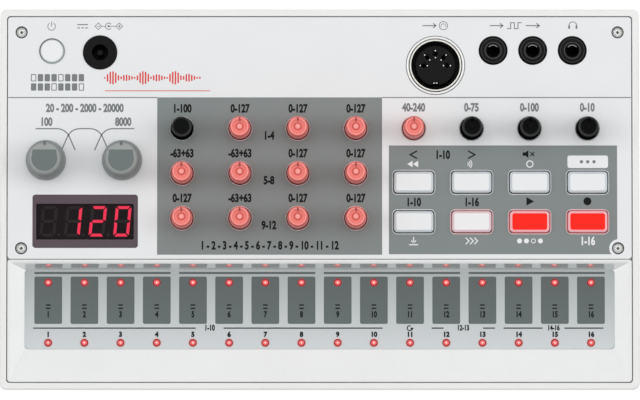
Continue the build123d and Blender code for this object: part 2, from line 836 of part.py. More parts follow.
# Circuit boards, links between them and the screws that hold them to the panel's posts
def make_main_board():
    board = span(-board_half, board_half, board_front, board_back, board_z, board_top)
    for side in (-1, 1):
        edge = side * (board_half - board_corner_notch + board_edge_gap)
        board -= span(min(edge, side * board_half), max(edge, side * board_half), board_front,
                      board_front + board_corner_notch, board_z, board_top)
    return board - [rod(board_screw + 2 * screw_fit, board_z, board_top, x, y) for x, y in board_posts]


def make_jack_board():
    board = span(jack_left, jack_right, jack_front, jack_back, jack_board_z, jack_board_top)
    board += span(jack_tongue_left, jack_tongue_right, jack_tongue_front, jack_back,
                  jack_board_z, jack_board_top)
    hole = board_screw + 2 * screw_fit
    return board - [rod(hole, jack_board_z, jack_board_top, x, y) for x, y in jack_posts]


def make_board_links():
    """Pin header between the two upper boards, and a flat lead to the touch board."""
    header_x = jack_tongue_left + header_length / 2 + board_edge_gap
    header_y_low = jack_tongue_front + board_edge_gap / 2
    header = span(header_x - header_length / 2, header_x + header_length / 2, header_y_low,
                  header_y_low + header_width, jack_board_top, board_z)
    half = link_width / 2
    bend = board_front - link_thickness
    lead = span(-half, half, bend - link_thickness, board_front + link_reach,
                board_z - link_thickness, board_z)
    lead += span(-half, half, bend - link_thickness, bend, board_z - link_thickness, touch_board_z)
    lead += span(-half, half, plate_back - link_reach, bend, touch_board_z - link_thickness, touch_board_z)
    return group([header, lead])


def make_board_screws():
    length = board_thickness + board_screw_grip - screw_fit
    spots = [(x, y, board_z) for x, y in board_posts] + [(x, y, jack_board_z) for x, y in jack_posts]
    return group([driven_screw(board_screw, length, board_screw_head, board_screw_head_height, z, x, y, -1)
                  for x, y, z in spots])


# Speaker, facing down on the base
def make_speaker_frame():
    outer = speaker_diameter / 2
    neck = speaker_magnet / 2
    top = floor_z + speaker_height
    back = top - speaker_magnet_height
    throat = cone_throat / 2 + cone_gap
    mouth = outer - speaker_flange_width
    outline = [(mouth, floor_z), (outer, floor_z), (outer, floor_z + speaker_flange),
               (neck, back), (neck, top), (0, top), (0, back), (throat, back - speaker_flange),
               (mouth, floor_z + speaker_flange)]
    return Pos(speaker_x, speaker_y, 0) * turned(Polyline(*outline, close=True))


def make_speaker_cone():
    mouth = speaker_diameter / 2 - speaker_flange_width - cone_gap
    throat = cone_throat / 2
    low = floor_z + speaker_flange
    back = floor_z + speaker_height - speaker_magnet_height - speaker_flange - cone_gap
    outline = [(0, back - 2 * cone_thickness), (throat, back - cone_thickness), (mouth, low - cone_thickness),
               (mouth, low), (throat, back), (0, back - cone_thickness)]
    return Pos(speaker_x, speaker_y, 0) * turned(Polyline(*outline, close=True))


# Cells, their end contacts and the feet
def make_battery_cells():
    cells = []
    for row in range(cell_rows):
        y = bay_front + cell_play + cell_diameter / 2 + row * (cell_diameter + cell_gap)
        facing = 1 if row % 2 == 0 else -1
        for column in range(cell_columns):
            x = bay_x + (column - (cell_columns - 1) / 2) * cell_length
            body_length = cell_length - cell_nub_length
            body = Cylinder(cell_diameter / 2, body_length)
            nub = Pos(0, 0, cell_length / 2) * Cylinder(cell_nub / 2, cell_nub_length)
            cell = Pos(0, 0, -cell_nub_length / 2) * (body + nub)
            cells.append(Pos(x, y, cell_z + cell_diameter / 2) * Rot(0, 90 * facing, 0) * cell)
    return group(cells)


def make_battery_contacts():
    contacts = []
    half = contact_size / 2
    tip_half = contact_tip / 2
    z = cell_z + cell_diameter / 2
    for side in (-1, 1):
        wall_x = bay_x + side * bay_inner_width / 2
        tip_x = bay_x + side * cell_columns * cell_length / 2
        plate_x = wall_x - side * contact_thickness
        for row in range(cell_rows):
            y = bay_front + cell_play + cell_diameter / 2 + row * (cell_diameter + cell_gap)
            plate = span(min(wall_x, plate_x), max(wall_x, plate_x), y - half, y + half, z - half, z + half)
            tip = span(min(plate_x, tip_x), max(plate_x, tip_x), y - tip_half, y + tip_half,
                       z - tip_half, z + tip_half)
            contacts.append(plate + tip)
    return group(contacts)


def make_feet():
    discs = []
    for x, y in feet:
        disc = rod(foot_diameter, 0, base_z + foot_sink, x, y)
        discs.append(fillet(disc.faces().sort_by(Axis.Z)[0].edges(), foot_round))
    return group(discs)


def make_panel_screws():
    seat = panel_top - panel_screw_sink
    length = panel_screw_length - screw_fit
    return group([driven_screw(panel_screw, length, panel_screw_head, panel_screw_head_height, seat, x, y, 1)
                  for x, y in panel_screws])


def make_case_screws():
    seat = split_z - screw_seat
    return group([driven_screw(case_screw, case_screw_length, case_screw_head, case_screw_head_height,
                               seat, x, y, -1) for x, y in case_posts])


# Names of the moving controls, in the order of their places
small_knob_names = [
    "knob_sample_select", "knob_start_point", "knob_length", "knob_high_cut",
    "knob_speed", "knob_pitch_amount", "knob_pitch_attack", "knob_pitch_decay",
    "knob_level", "knob_pan", "knob_amp_attack", "knob_amp_decay",
    "knob_tempo", "knob_swing", "knob_reverb_mix", "knob_volume",
]
button_names = [
    "button_reverse", "button_reverb", "button_mute", "button_function",
    "button_memory", "button_step_mode", "button_play", "button_record",
]

nodes = {
    "upper_case": make_upper_case(),
    "lower_case": make_lower_case(),
    "battery_cover": make_battery_cover(),
    "top_panel": make_top_panel(),
    "step_bezel": make_step_bezel(),
    "step_plate": make_step_plate(),
    "step_leds": make_step_leds(),
    "touch_board": make_touch_board(),
    "display_window": make_display_window(),
    "display_module": make_display_module(),
    "main_board": make_main_board(),
    "jack_board": make_jack_board(),
    "board_links": make_board_links(),
    "board_screws": make_board_screws(),
    "large_pots": group([large_pot(x) for x in large_x]),
    "knob_bass": make_large_knob(large_x[0]),
    "knob_treble": make_large_knob(large_x[1]),
    "shaft_bass": make_large_shaft(large_x[0]),
    "shaft_treble": make_large_shaft(large_x[1]),
    "button_switches": group([tact_switch(x, y, board_top) for x, y in button_places()]),
    "power_button": make_power_button(),
    "power_switch": make_power_switch(),
    "dc_jack": make_dc_jack(),
    "midi_socket": make_midi_socket(),
    "midi_shield": make_midi_shield(),
    "midi_contacts": make_midi_contacts(),
    "mini_jacks": group([mini_jack(x, y) for x, y in mini_places]),
    "speaker_frame": make_speaker_frame(),
    "speaker_cone": make_speaker_cone(),
    "battery_cells": make_battery_cells(),
    "battery_contacts": make_battery_contacts(),
    "feet": make_feet(),
    "panel_screws": make_panel_screws(),
    "case_screws": make_case_screws(),
}

bodies = [pot_body(pot_width, spindle + 2 * turning_gap, x, y) for x, y in small_knob_places()]
nodes["sample_encoder"] = bodies[0]
nodes["small_pots"] = group(bodies[1:])
for name, (x, y) in zip(small_knob_names, small_knob_places()):
    nodes[name] = make_small_knob(x, y, name != "knob_sample_select")
for name, (x, y) in zip(button_names, button_places()):
    nodes[name] = make_button(x, y)

os.makedirs("parts", exist_ok=True)
for name, shape in nodes.items():
    export_step(shape, f"parts/{name}.step")
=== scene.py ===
import json
import math

import bmesh
import bpy
from mathutils import Matrix, Vector

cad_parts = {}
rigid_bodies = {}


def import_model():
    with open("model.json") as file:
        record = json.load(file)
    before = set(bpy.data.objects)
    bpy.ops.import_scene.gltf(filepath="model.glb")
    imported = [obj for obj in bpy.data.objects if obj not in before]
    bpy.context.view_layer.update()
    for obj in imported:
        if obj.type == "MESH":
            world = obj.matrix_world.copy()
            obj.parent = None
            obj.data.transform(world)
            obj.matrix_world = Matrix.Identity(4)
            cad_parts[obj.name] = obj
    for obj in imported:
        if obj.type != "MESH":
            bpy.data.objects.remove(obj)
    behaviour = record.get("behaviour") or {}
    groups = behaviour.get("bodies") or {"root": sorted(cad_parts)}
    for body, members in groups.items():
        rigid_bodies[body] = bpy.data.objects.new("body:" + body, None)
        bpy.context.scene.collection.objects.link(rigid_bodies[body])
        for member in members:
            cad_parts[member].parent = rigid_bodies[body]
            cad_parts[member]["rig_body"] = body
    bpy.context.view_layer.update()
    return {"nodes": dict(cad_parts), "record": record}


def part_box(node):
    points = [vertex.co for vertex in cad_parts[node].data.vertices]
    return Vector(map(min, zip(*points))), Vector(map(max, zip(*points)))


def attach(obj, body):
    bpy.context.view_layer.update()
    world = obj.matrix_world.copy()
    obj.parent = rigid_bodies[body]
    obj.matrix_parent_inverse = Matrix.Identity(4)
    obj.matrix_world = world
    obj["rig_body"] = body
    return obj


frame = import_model()
nodes = frame["nodes"]

# Lengths below are in millimetres unless said otherwise; INK is the thickness of a print
MM = 0.001
INK = 0.02

# Frame of the photograph in pixels, size of a pixel on the panel, and row of the panel's middle
PHOTO_WIDTH = 640
PHOTO_HEIGHT = 400
PIXEL = 0.3016
MIDDLE_ROW = 199.25


def px(x, y):
    """Place on the panel of a point of the photograph, by its column and row."""
    return ((x - PHOTO_WIDTH / 2) * PIXEL, (MIDDLE_ROW - y) * PIXEL)


def top(node):
    """Height of a node's top."""
    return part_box(node)[1].z / MM


# Heights of the printed faces
panel_z = top("top_panel")
plate_z = top("step_plate")
module_z = top("display_module")

# Pieces of a kind
knob_names = [name for name in nodes if name.startswith("knob_")]
button_names = [name for name in nodes if name.startswith("button_") and name != "button_switches"]
LARGE_KNOBS = ("knob_bass", "knob_treble")
BLACK_KNOBS = ("knob_sample_select", "knob_swing", "knob_reverb_mix", "knob_volume")
LIT_BUTTONS = ("button_play", "button_record")
HALF_LIT_BUTTON = "button_step_mode"


def middle(node):
    """Middle of a node in plan."""
    low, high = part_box(node)
    return ((low.x + high.x) / 2 / MM, (low.y + high.y) / 2 / MM)


def size(node):
    """Width and depth of a node in plan."""
    low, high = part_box(node)
    return ((high.x - low.x) / MM, (high.y - low.y) / MM)


def body_of(node):
    """Body that a node of the frame rides on."""
    return nodes[node]["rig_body"]


# Building blocks of the materials
NOISE_RANGE = (0.3, 0.7)
MOTTLE_SIZE = 14.0
MOTTLE_DETAIL = 2.0
POLISH_RANGE = (0.85, 1.15)
BEVEL_SAMPLES = 4
BUMP_STRENGTH = 0.5


def new_material(name):
    material = bpy.data.materials.new(name)
    material.use_nodes = True
    tree = material.node_tree
    return material, tree, principled(material)


def principled(material):
    return material.node_tree.nodes["Principled BSDF"]


def set_values(material, values):
    """Sets even values of a material's shader."""
    for name, value in values.items():
        principled(material).inputs[name].default_value = value
    return material


def coordinates(tree, kind):
    return tree.nodes.new("ShaderNodeTexCoord").outputs[kind]


def part_of(tree, vector, axis):
    """One axis of a vector."""
    parts = tree.nodes.new("ShaderNodeSeparateXYZ")
    tree.links.new(vector, parts.inputs["Vector"])
    return parts.outputs[axis]


def vector_step(tree, operation, source, *values):
    """One vector operation on a source, with fixed values as its other inputs."""
    step = tree.nodes.new("ShaderNodeVectorMath")
    step.operation = operation
    tree.links.new(source, step.inputs[0])
    for i, value in enumerate(values):
        step.inputs[i + 1].default_value = value
    return step.outputs


def flat_distance(tree, place, centre):
    """Distance in plan between a place and a centre."""
    offset = vector_step(tree, "SUBTRACT", place, centre)
    flat = vector_step(tree, "MULTIPLY", offset["Vector"], (1, 1, 0))
    return vector_step(tree, "LENGTH", flat["Vector"])["Value"]


def noise(tree, feature, detail=4.0):
    """Noise with features of a size, fixed to the object."""
    texture = tree.nodes.new("ShaderNodeTexNoise")
    texture.inputs["Scale"].default_value = 1 / (feature * MM)
    texture.inputs["Detail"].default_value = detail
    tree.links.new(coordinates(tree, "Object"), texture.inputs["Vector"])
    return texture.outputs["Fac"]


def remap(tree, value, source, target=(0, 1)):
    """Carries a value from one range over to another."""
    step = tree.nodes.new("ShaderNodeMapRange")
    for end, limit in zip(("From Min", "From Max", "To Min", "To Max"), (*source, *target)):
        step.inputs[end].default_value = limit
    tree.links.new(value, step.inputs["Value"])
    return step.outputs["Result"]


def blend(tree, factor, first, second):
    """Mixes two colours by a factor."""
    mix = tree.nodes.new("ShaderNodeMix")
    mix.data_type = "RGBA"
    mix.inputs["A"].default_value = (*first, 1)
    mix.inputs["B"].default_value = (*second, 1)
    tree.links.new(factor, mix.inputs["Factor"])
    return mix.outputs["Result"]


def tone_ramp(tree, share, tones):
    """Colour by a share from 0 to 1, through stops of a place and a tone."""
    ramp = tree.nodes.new("ShaderNodeValToRGB")
    stops = ramp.color_ramp.elements
    for stop, (place, tone) in zip(stops, (tones[0], tones[-1])):
        stop.position = place
        stop.color = (*tone, 1)
    for place, tone in tones[1:-1]:
        stops.new(place).color = (*tone, 1)
    tree.links.new(share, ramp.inputs["Fac"])
    return ramp.outputs["Color"]


def shade(colour, factor):
    return tuple(min(channel * factor, 1.0) for channel in colour)


def surface(name, colour, roughness, feature=0.25, depth=0.01, mottle=0.03, edge=0.12):
    """Moulded or machined surface: fine grain, faint mottling, softened edges."""
    material, tree, shader = new_material(name)
    fine = noise(tree, feature)
    broad = noise(tree, MOTTLE_SIZE, MOTTLE_DETAIL)
    base = blend(tree, broad, shade(colour, 1 - mottle), shade(colour, 1 + mottle))
    tree.links.new(base, shader.inputs["Base Color"])
    polish = remap(tree, fine, NOISE_RANGE, [roughness * factor for factor in POLISH_RANGE])
    tree.links.new(polish, shader.inputs["Roughness"])
    rounded = tree.nodes.new("ShaderNodeBevel")
    rounded.samples = BEVEL_SAMPLES
    rounded.inputs["Radius"].default_value = edge * MM
    bump = tree.nodes.new("ShaderNodeBump")
    bump.inputs["Strength"].default_value = BUMP_STRENGTH
    bump.inputs["Distance"].default_value = depth * MM
    tree.links.new(fine, bump.inputs["Height"])
    tree.links.new(rounded.outputs["Normal"], bump.inputs["Normal"])
    tree.links.new(bump.outputs["Normal"], shader.inputs["Normal"])
    return material


def coloured(material, colour):
    """Gives a surface a colour that varies over it."""
    material.node_tree.links.new(colour, principled(material).inputs["Base Color"])
    return material


def glow(material, colour, strength):
    return set_values(material, {"Emission Color": (*colour, 1), "Emission Strength": strength})


def gloss(material, coat, coat_roughness=0.08):
    return set_values(material, {"Coat Weight": coat, "Coat Roughness": coat_roughness})


def dull(material, level):
    return set_values(material, {"Specular IOR Level": level})


def metal(material, share=1.0):
    return set_values(material, {"Metallic": share})


def plated(name, colour, roughness, share=1.0):
    """Plated sheet metal with a fine grain."""
    return metal(surface(name, colour, roughness, feature=0.12, depth=0.006, mottle=0.05, edge=0.06), share)


def trim(name, colour, roughness=0.5, feature=0.25):
    return surface(name, colour, roughness, feature, depth=0.006)


def ink(name, colour, roughness=0.5):
    return surface(name, colour, roughness, feature=0.2, depth=0.004)


# Materials of the solid pieces
case_white = surface("case_white", (0.80, 0.80, 0.79), 0.45, feature=0.3, depth=0.012)
panel_white = surface("panel_white", (0.765, 0.78, 0.79), 0.5, feature=0.22)
bezel_white = gloss(surface("bezel_white", (0.80, 0.81, 0.81), 0.25, feature=0.5, depth=0.004), coat=0.6)
board_green = surface("board_green", (0.02, 0.13, 0.06), 0.4, feature=0.6, depth=0.03, mottle=0.2)
link_tan = surface("link_tan", (0.45, 0.30, 0.12), 0.5, feature=0.4, depth=0.02, mottle=0.1)
screw_steel = surface("screw_steel", (0.90, 0.91, 0.89), 0.42, feature=0.15, depth=0.006, edge=0.06)
metal(screw_steel, share=0.35)
shield_metal = plated("shield_metal", (0.78, 0.78, 0.75), 0.22)
shield_cream = plated("shield_cream", (0.62, 0.61, 0.565), 0.34)
# Plated contacts of the five-pin socket, darkened near black as painted shade, for they lie deep in its holes
contact_shade = plated("contact_shade", (0.05, 0.05, 0.048), 0.35, share=0.6)
ring_white = gloss(surface("ring_white", (0.93, 0.93, 0.925), 0.3, feature=0.2, depth=0.004), coat=0.4)
module_black = dull(surface("module_black", (0.006, 0.005, 0.0055), 0.6, feature=0.3, mottle=0.1), 0.1)
pot_grey = surface("pot_grey", (0.09, 0.09, 0.10), 0.5, feature=0.3, depth=0.02, mottle=0.08)
socket_black = dull(surface("socket_black", (0.0022, 0.0022, 0.0022), 0.4, depth=0.008, mottle=0.1), 0.12)
cone_paper = surface("cone_paper", (0.03, 0.03, 0.03), 0.9, feature=0.5, depth=0.06, mottle=0.2)
cell_wrap = gloss(surface("cell_wrap", (0.06, 0.07, 0.09), 0.3, feature=0.8, mottle=0.1), coat=0.5)
foot_rubber = surface("foot_rubber", (0.02, 0.02, 0.02), 0.85, feature=0.35, depth=0.03, mottle=0.15)
dull(foot_rubber, 0.3)
cap_grey = surface("cap_grey", (0.127, 0.152, 0.150), 0.55, depth=0.015, mottle=0.05)


def paint_ring_shading(material, width, tones):
    """Paints highlights and shade on a turned piece in rings, by the distance from its axis."""
    tree = material.node_tree
    distance = flat_distance(tree, coordinates(tree, "Generated"), (0.5, 0.5, 0))
    shares = [(radius / width, tone) for radius, tone in tones]
    return coloured(material, tone_ramp(tree, distance, shares))


# Turned knobs, each with painted highlights and painted shade in rings by the distance from the axis
KNOB_WIDTH = size("knob_tempo")[0]
RED_LIGHT = (0.93, 0.38, 0.35)
RED_MID = (0.87, 0.25, 0.225)
RED_DARK = (0.55, 0.088, 0.076)
RED_SHADE = (0.07, 0.028, 0.022)
LIGHT_DEPTHS = (1.0, 0.25, 0.2)
# Painted light and shade in rings: highlights on the middle boss, the rim and the top edge; shade in the
# groove round the boss, along the edge and on the skirt
red_highlights_and_shade = ((0.0, RED_LIGHT), (0.55, RED_LIGHT), (1.05, RED_DARK), (1.35, RED_MID), (2.1, RED_MID),
             (2.35, RED_LIGHT), (2.6, RED_MID), (2.95, RED_DARK), (3.06, RED_LIGHT), (3.18, RED_MID),
             (3.27, RED_DARK), (3.36, RED_SHADE))
knob_red = surface("knob_red", RED_MID, 0.3, feature=0.3, depth=0.005, mottle=0.05)
paint_ring_shading(knob_red, KNOB_WIDTH, red_highlights_and_shade)
set_values(knob_red, {"Subsurface Weight": 0.12, "Subsurface Scale": 0.8 * MM})
set_values(knob_red, {"Subsurface Radius": LIGHT_DEPTHS})
dull(knob_red, 0.01)

LARGE_WIDTH = size("knob_bass")[0]
GREY_LIGHT = (0.34, 0.36, 0.352)
GREY_MID = (0.25, 0.272, 0.268)
GREY_DARK = (0.15, 0.168, 0.166)
# Painted light and shade in rings: a painted highlight round the dark cap and on the facet, and painted shade
# where the top turns down into the skirt
grey_highlights_and_shade = ((0.0, GREY_LIGHT), (4.35, GREY_LIGHT), (4.8, GREY_MID), (5.3, GREY_DARK), (6.0, GREY_MID))
knob_grey = surface("knob_grey", GREY_MID, 0.5, depth=0.012, mottle=0.05)
paint_ring_shading(knob_grey, LARGE_WIDTH, grey_highlights_and_shade)

BLACK_DEEP = (0.0075, 0.0078, 0.0078)
BLACK_RIM_HIGHLIGHT = (0.030, 0.031, 0.031)
BLACK_HIGHLIGHT = (0.095, 0.097, 0.097)
BLACK_SKIRT = (0.003, 0.003, 0.003)
# Painted light and shade in rings: painted highlights on the rim of the top, and the skirt painted darker as
# shade
black_highlights_and_shade = ((0.0, BLACK_DEEP), (2.3, BLACK_DEEP), (2.45, BLACK_RIM_HIGHLIGHT), (2.75, BLACK_RIM_HIGHLIGHT),
               (2.92, BLACK_HIGHLIGHT), (3.06, BLACK_SKIRT))
knob_black = surface("knob_black", BLACK_DEEP, 0.55, feature=0.22, depth=0.012, mottle=0.1)
paint_ring_shading(knob_black, KNOB_WIDTH, black_highlights_and_shade)
dull(knob_black, 0.0)


def painted_back_shade(material, front, back):
    """Painted shade: passes from a front tone to a darker back tone across the key strip, where the wall
    behind the keys shades it.
    """
    tree = material.node_tree
    low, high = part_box("step_plate")
    along = part_of(tree, coordinates(tree, "Object"), "Y")
    share = remap(tree, along, (low.y, high.y))
    return coloured(material, blend(tree, share, front, back))


# Key plate with painted shade, darker towards the wall at its back
PLATE_FRONT = (0.60, 0.63, 0.645)
PLATE_BACK_SHADE = (0.36, 0.39, 0.392)
plate_grey = surface("plate_grey", PLATE_FRONT, 0.35, feature=0.3, depth=0.006)
painted_back_shade(plate_grey, PLATE_FRONT, PLATE_BACK_SHADE)

# Smoked clear window that lets a share of the light through
WINDOW_ALPHA = 0.36
window_tint = dull(surface("window_tint", (0.012, 0.006, 0.008), 0.2, feature=0.6, depth=0.002), 0.2)
set_values(window_tint, {"Alpha": WINDOW_ALPHA})

# Tones of a lamp by the share of its radius
LAMP_BRIGHT = (1.0, 0.76, 0.74)
LAMP_PINK = (0.70, 0.112, 0.116)
LAMP_RED = (0.62, 0.062, 0.066)
LAMP_DARK = (0.12, 0.006, 0.007)
lamp_tones = ((0.06, LAMP_BRIGHT), (0.28, LAMP_PINK), (0.60, LAMP_RED), (0.92, LAMP_DARK))
LAMP_GLOW = 0.5
LENS_GRAIN = 0.3
LENS_ROUGHNESS = (0.12, 0.22)


def make_lamp_red(rows, pitch, radius):
    """Red lens that is brightest over the middle of each lamp."""
    material, tree, shader = new_material("lamp_red")
    row_gap = rows[0] - rows[1]
    middle_y = (rows[0] + rows[1]) / 2
    cell_high = (pitch * MM, (middle_y + row_gap) * MM, 1)
    cell_low = (0, middle_y * MM, -1)
    cell = vector_step(tree, "WRAP", coordinates(tree, "Object"), cell_high, cell_low)
    distance = flat_distance(tree, cell["Vector"], (pitch / 2 * MM, rows[0] * MM, 0))
    colour = tone_ramp(tree, remap(tree, distance, (0, radius * MM)), lamp_tones)
    tree.links.new(colour, shader.inputs["Base Color"])
    tree.links.new(colour, shader.inputs["Emission Color"])
    shader.inputs["Emission Strength"].default_value = LAMP_GLOW
    polish = remap(tree, noise(tree, LENS_GRAIN), NOISE_RANGE, LENS_ROUGHNESS)
    tree.links.new(polish, shader.inputs["Roughness"])
    return material


# Upright share of a face's direction where a bevel passes into the flat
FLAT_RANGE = (0.93, 0.985)


def make_button(name, face, bevel, strength):
    """Cap whose bevel is toned apart from its flat face by how far it slopes, lit from inside by a strength.
    """
    material = surface(name, face, 0.42, depth=0.006)
    tree = material.node_tree
    normal = tree.nodes.new("ShaderNodeNewGeometry").outputs["Normal"]
    flat = remap(tree, part_of(tree, normal, "Z"), FLAT_RANGE)
    colour = blend(tree, flat, bevel, face)
    tree.links.new(colour, principled(material).inputs["Emission Color"])
    set_values(material, {"Emission Strength": strength})
    return coloured(material, colour)


# The white caps' darker bevel is painted shade; on the lit caps the pinker bevel is partly the real glow of
# the lamp inside and partly painted light in its colour
button_white = make_button("button_white", (0.79, 0.80, 0.81), (0.58, 0.63, 0.66), strength=0.0)
button_half_lit = make_button("button_half_lit", (0.80, 0.79, 0.80), (0.74, 0.55, 0.59), strength=0.02)
button_red = make_button("button_red", (0.94, 0.010, 0.003), (0.80, 0.40, 0.43), strength=0.14)
dull(button_red, 0.2)

# Plan of the key strip
STEP_COUNT = 16
LAMP = 2.3
lamp_low, lamp_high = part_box("step_leds")
STEP_PITCH = ((lamp_high.x - lamp_low.x) / MM - LAMP) / (STEP_COUNT - 1)
lamp_rows = (lamp_high.y / MM - LAMP / 2, lamp_low.y / MM + LAMP / 2)
step_x = [(i - (STEP_COUNT - 1) / 2) * STEP_PITCH for i in range(STEP_COUNT)]


# Finish of every solid piece
def paint(material, *names):
    for name in names:
        slots = nodes[name].data.materials
        slots.clear()
        slots.append(material)


paint(case_white, "upper_case", "lower_case", "battery_cover")
paint(panel_white, "top_panel")
paint(bezel_white, "step_bezel")
paint(plate_grey, "step_plate")
paint(make_lamp_red(lamp_rows, STEP_PITCH, LAMP / 2), "step_leds")
paint(board_green, "touch_board", "main_board", "jack_board")
paint(link_tan, "board_links")
paint(screw_steel, "board_screws", "panel_screws", "case_screws", "speaker_frame")
paint(window_tint, "display_window")
paint(module_black, "display_module", "button_switches", "power_switch")
paint(pot_grey, "large_pots", "small_pots", "sample_encoder")
paint(socket_black, "dc_jack", "midi_socket", "mini_jacks")
paint(shield_cream, "midi_shield")
paint(contact_shade, "midi_contacts")
paint(cone_paper, "speaker_cone")
paint(cell_wrap, "battery_cells")
paint(shield_metal, "battery_contacts", "shaft_bass", "shaft_treble")
paint(foot_rubber, "feet")
paint(button_white, "power_button", *button_names)
paint(button_red, *LIT_BUTTONS)
paint(button_half_lit, HALF_LIT_BUTTON)
paint(knob_red, *knob_names)
paint(knob_black, *BLACK_KNOBS)
paint(knob_grey, *LARGE_KNOBS)

# Flat prints and sheets of painted light and shade: each sheet of one colour is one piece, made of thin
# closed shapes
CORNER_STEPS = 6
CORNERS = ((1, 1, 0), (-1, 1, 90), (-1, -1, 180), (1, -1, 270))
MITRE_LIMIT = 0.35
FONT_STEPS = 4


def ring(x, y, radius, count=48):
    """Points of a circle."""
    turns = [2 * math.pi * i / count for i in range(count)]
    return [(x + radius * math.cos(turn), y + radius * math.sin(turn)) for turn in turns]


def arc(x, y, radius, start, end, count=16):
    """Points of an arc between two angles in degrees."""
    angles = [math.radians(start + (end - start) * i / count) for i in range(count + 1)]
    return [(x + radius * math.cos(a), y + radius * math.sin(a)) for a in angles]


def round_box(x, y, width, depth, corner):
    """Points of a rectangle with round corners."""
    points = []
    for side_x, side_y, start in CORNERS:
        corner_x = x + side_x * (width / 2 - corner)
        corner_y = y + side_y * (depth / 2 - corner)
        points += arc(corner_x, corner_y, corner, start, start + 90, CORNER_STEPS)
    return points


def stroke(points, width):
    """Outline of a line of even width with mitred bends."""
    path = [Vector(point) for point in points]
    left = []
    right = []
    last = len(path) - 1
    for i, point in enumerate(path):
        start = min(i, last - 1)
        ahead = (path[start + 1] - path[start]).normalized()
        end = max(i, 1)
        behind = (path[end] - path[end - 1]).normalized()
        side = Vector((-ahead.y - behind.y, ahead.x + behind.x)).normalized()
        reach = width / 2 / max(side.dot(Vector((-ahead.y, ahead.x))), MITRE_LIMIT)
        left.append(tuple(point + side * reach))
        right.append(tuple(point - side * reach))
    return left + right[::-1]


def curve_mesh(curve):
    """Mesh of a filled flat curve."""
    holder = bpy.data.objects.new("outline", curve)
    bpy.context.scene.collection.objects.link(holder)
    graph = bpy.context.evaluated_depsgraph_get()
    mesh = bpy.data.meshes.new_from_object(holder.evaluated_get(graph))
    bpy.data.objects.remove(holder)
    return mesh


def add_piece(name, bm, material, body="case"):
    """Turns a built shape into a piece that rides on a body of the frame."""
    mesh = bpy.data.meshes.new(name)
    bm.to_mesh(mesh)
    bm.free()
    mesh.materials.append(material)
    piece = bpy.data.objects.new(name, mesh)
    bpy.context.scene.collection.objects.link(piece)
    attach(piece, body)


class Sheet:
    """Prints, painted highlights and painted shade of one colour on one height, joined into one piece."""

    def __init__(self, name, z, material, slot):
        self.name = name
        self.z = z
        self.material = material
        self.slot = slot
        self.bm = bmesh.new()

    def add(self, mesh, matrix):
        mesh.transform(matrix)
        self.bm.from_mesh(mesh)
        bpy.data.meshes.remove(mesh)

    def shape(self, *outlines):
        """Filled shape; outlines after the first are holes in it."""
        curve = bpy.data.curves.new("shape", "CURVE")
        curve.dimensions = "2D"
        curve.fill_mode = "BOTH"
        curve.extrude = INK / 2
        for outline in outlines:
            spline = curve.splines.new("POLY")
            spline.points.add(len(outline) - 1)
            for point, (x, y) in zip(spline.points, outline):
                point.co = (x, y, 0, 1)
            spline.use_cyclic_u = True
        mesh = curve_mesh(curve)
        bpy.data.curves.remove(curve)
        self.add(mesh, Matrix.Scale(MM, 4) @ Matrix.Translation((0, 0, self.z + INK / 2)))

    def line(self, points, width):
        self.shape(stroke(points, width))

    def hoop(self, x, y, radius, width):
        self.shape(ring(x, y, radius + width / 2), ring(x, y, radius - width / 2))

    def dash(self, x, y, half, width):
        """Level line, by its middle and half its length."""
        self.line([(x - half, y), (x + half, y)], width)

    def text(self, words, x, y, height, squeeze=0.72, weight=0.045):
        """Numbers centred on a point, with an even height."""
        letters = bpy.data.curves.new("letters", "FONT")
        letters.body = words
        letters.offset = weight
        letters.resolution_u = FONT_STEPS
        letters.align_x = "CENTER"
        scale = height / FIGURE_HEIGHT
        letters.extrude = INK / 2 / scale
        mesh = curve_mesh(letters)
        bpy.data.curves.remove(letters)
        place = Matrix.Translation((x, y - height / 2, self.z + INK / 2))
        grow = Matrix.Diagonal((scale * squeeze, scale, scale, 1))
        self.add(mesh, Matrix.Scale(MM, 4) @ place @ grow)

    def finish(self, body="case"):
        add_piece(self.name, self.bm, self.material, body)


def figure_height():
    """Height of the built-in font's figures at size 1."""
    letters = bpy.data.curves.new("probe", "FONT")
    letters.body = "1"
    mesh = curve_mesh(letters)
    heights = [vertex.co.y for vertex in mesh.vertices]
    bpy.data.curves.remove(letters)
    bpy.data.meshes.remove(mesh)
    return max(heights)


FIGURE_HEIGHT = figure_height()
DOT_STEPS = 24

ink_grey = ink("ink_grey", (0.17, 0.182, 0.182))
ink_black = dull(ink("ink_black", (0.006, 0.0065, 0.0065), 0.55), 0.12)
ink_white = ink("ink_white", (0.80, 0.81, 0.82))
ink_red = ink("ink_red", (0.72, 0.035, 0.03))
ink_block = trim("ink_block", (0.196, 0.220, 0.218))
# Printed keys, with painted shade darker towards the wall at the back
KEY_FRONT = (0.112, 0.137, 0.138)
KEY_BACK_SHADE = (0.078, 0.094, 0.093)
ink_key = painted_back_shade(trim("ink_key", KEY_FRONT, 0.45), KEY_FRONT, KEY_BACK_SHADE)

# Dark caps let into the tops of the large knobs, cut off along a chord
CAP_RADIUS = 3.9
CAP_CHORD = 2.5
CAP_CHORD_HALF = 3.5
for name in LARGE_KNOBS:
    cap = Sheet(name.replace("knob", "cap"), top(name), cap_grey, "knob_grey")
    x, y = middle(name)
    chord = [(x + CAP_CHORD_HALF, y + CAP_CHORD), (x - CAP_CHORD_HALF, y + CAP_CHORD)]
    cap.shape(arc(x, y, CAP_RADIUS, 180, 360, count=40) + chord)
    cap.finish(body_of(name))

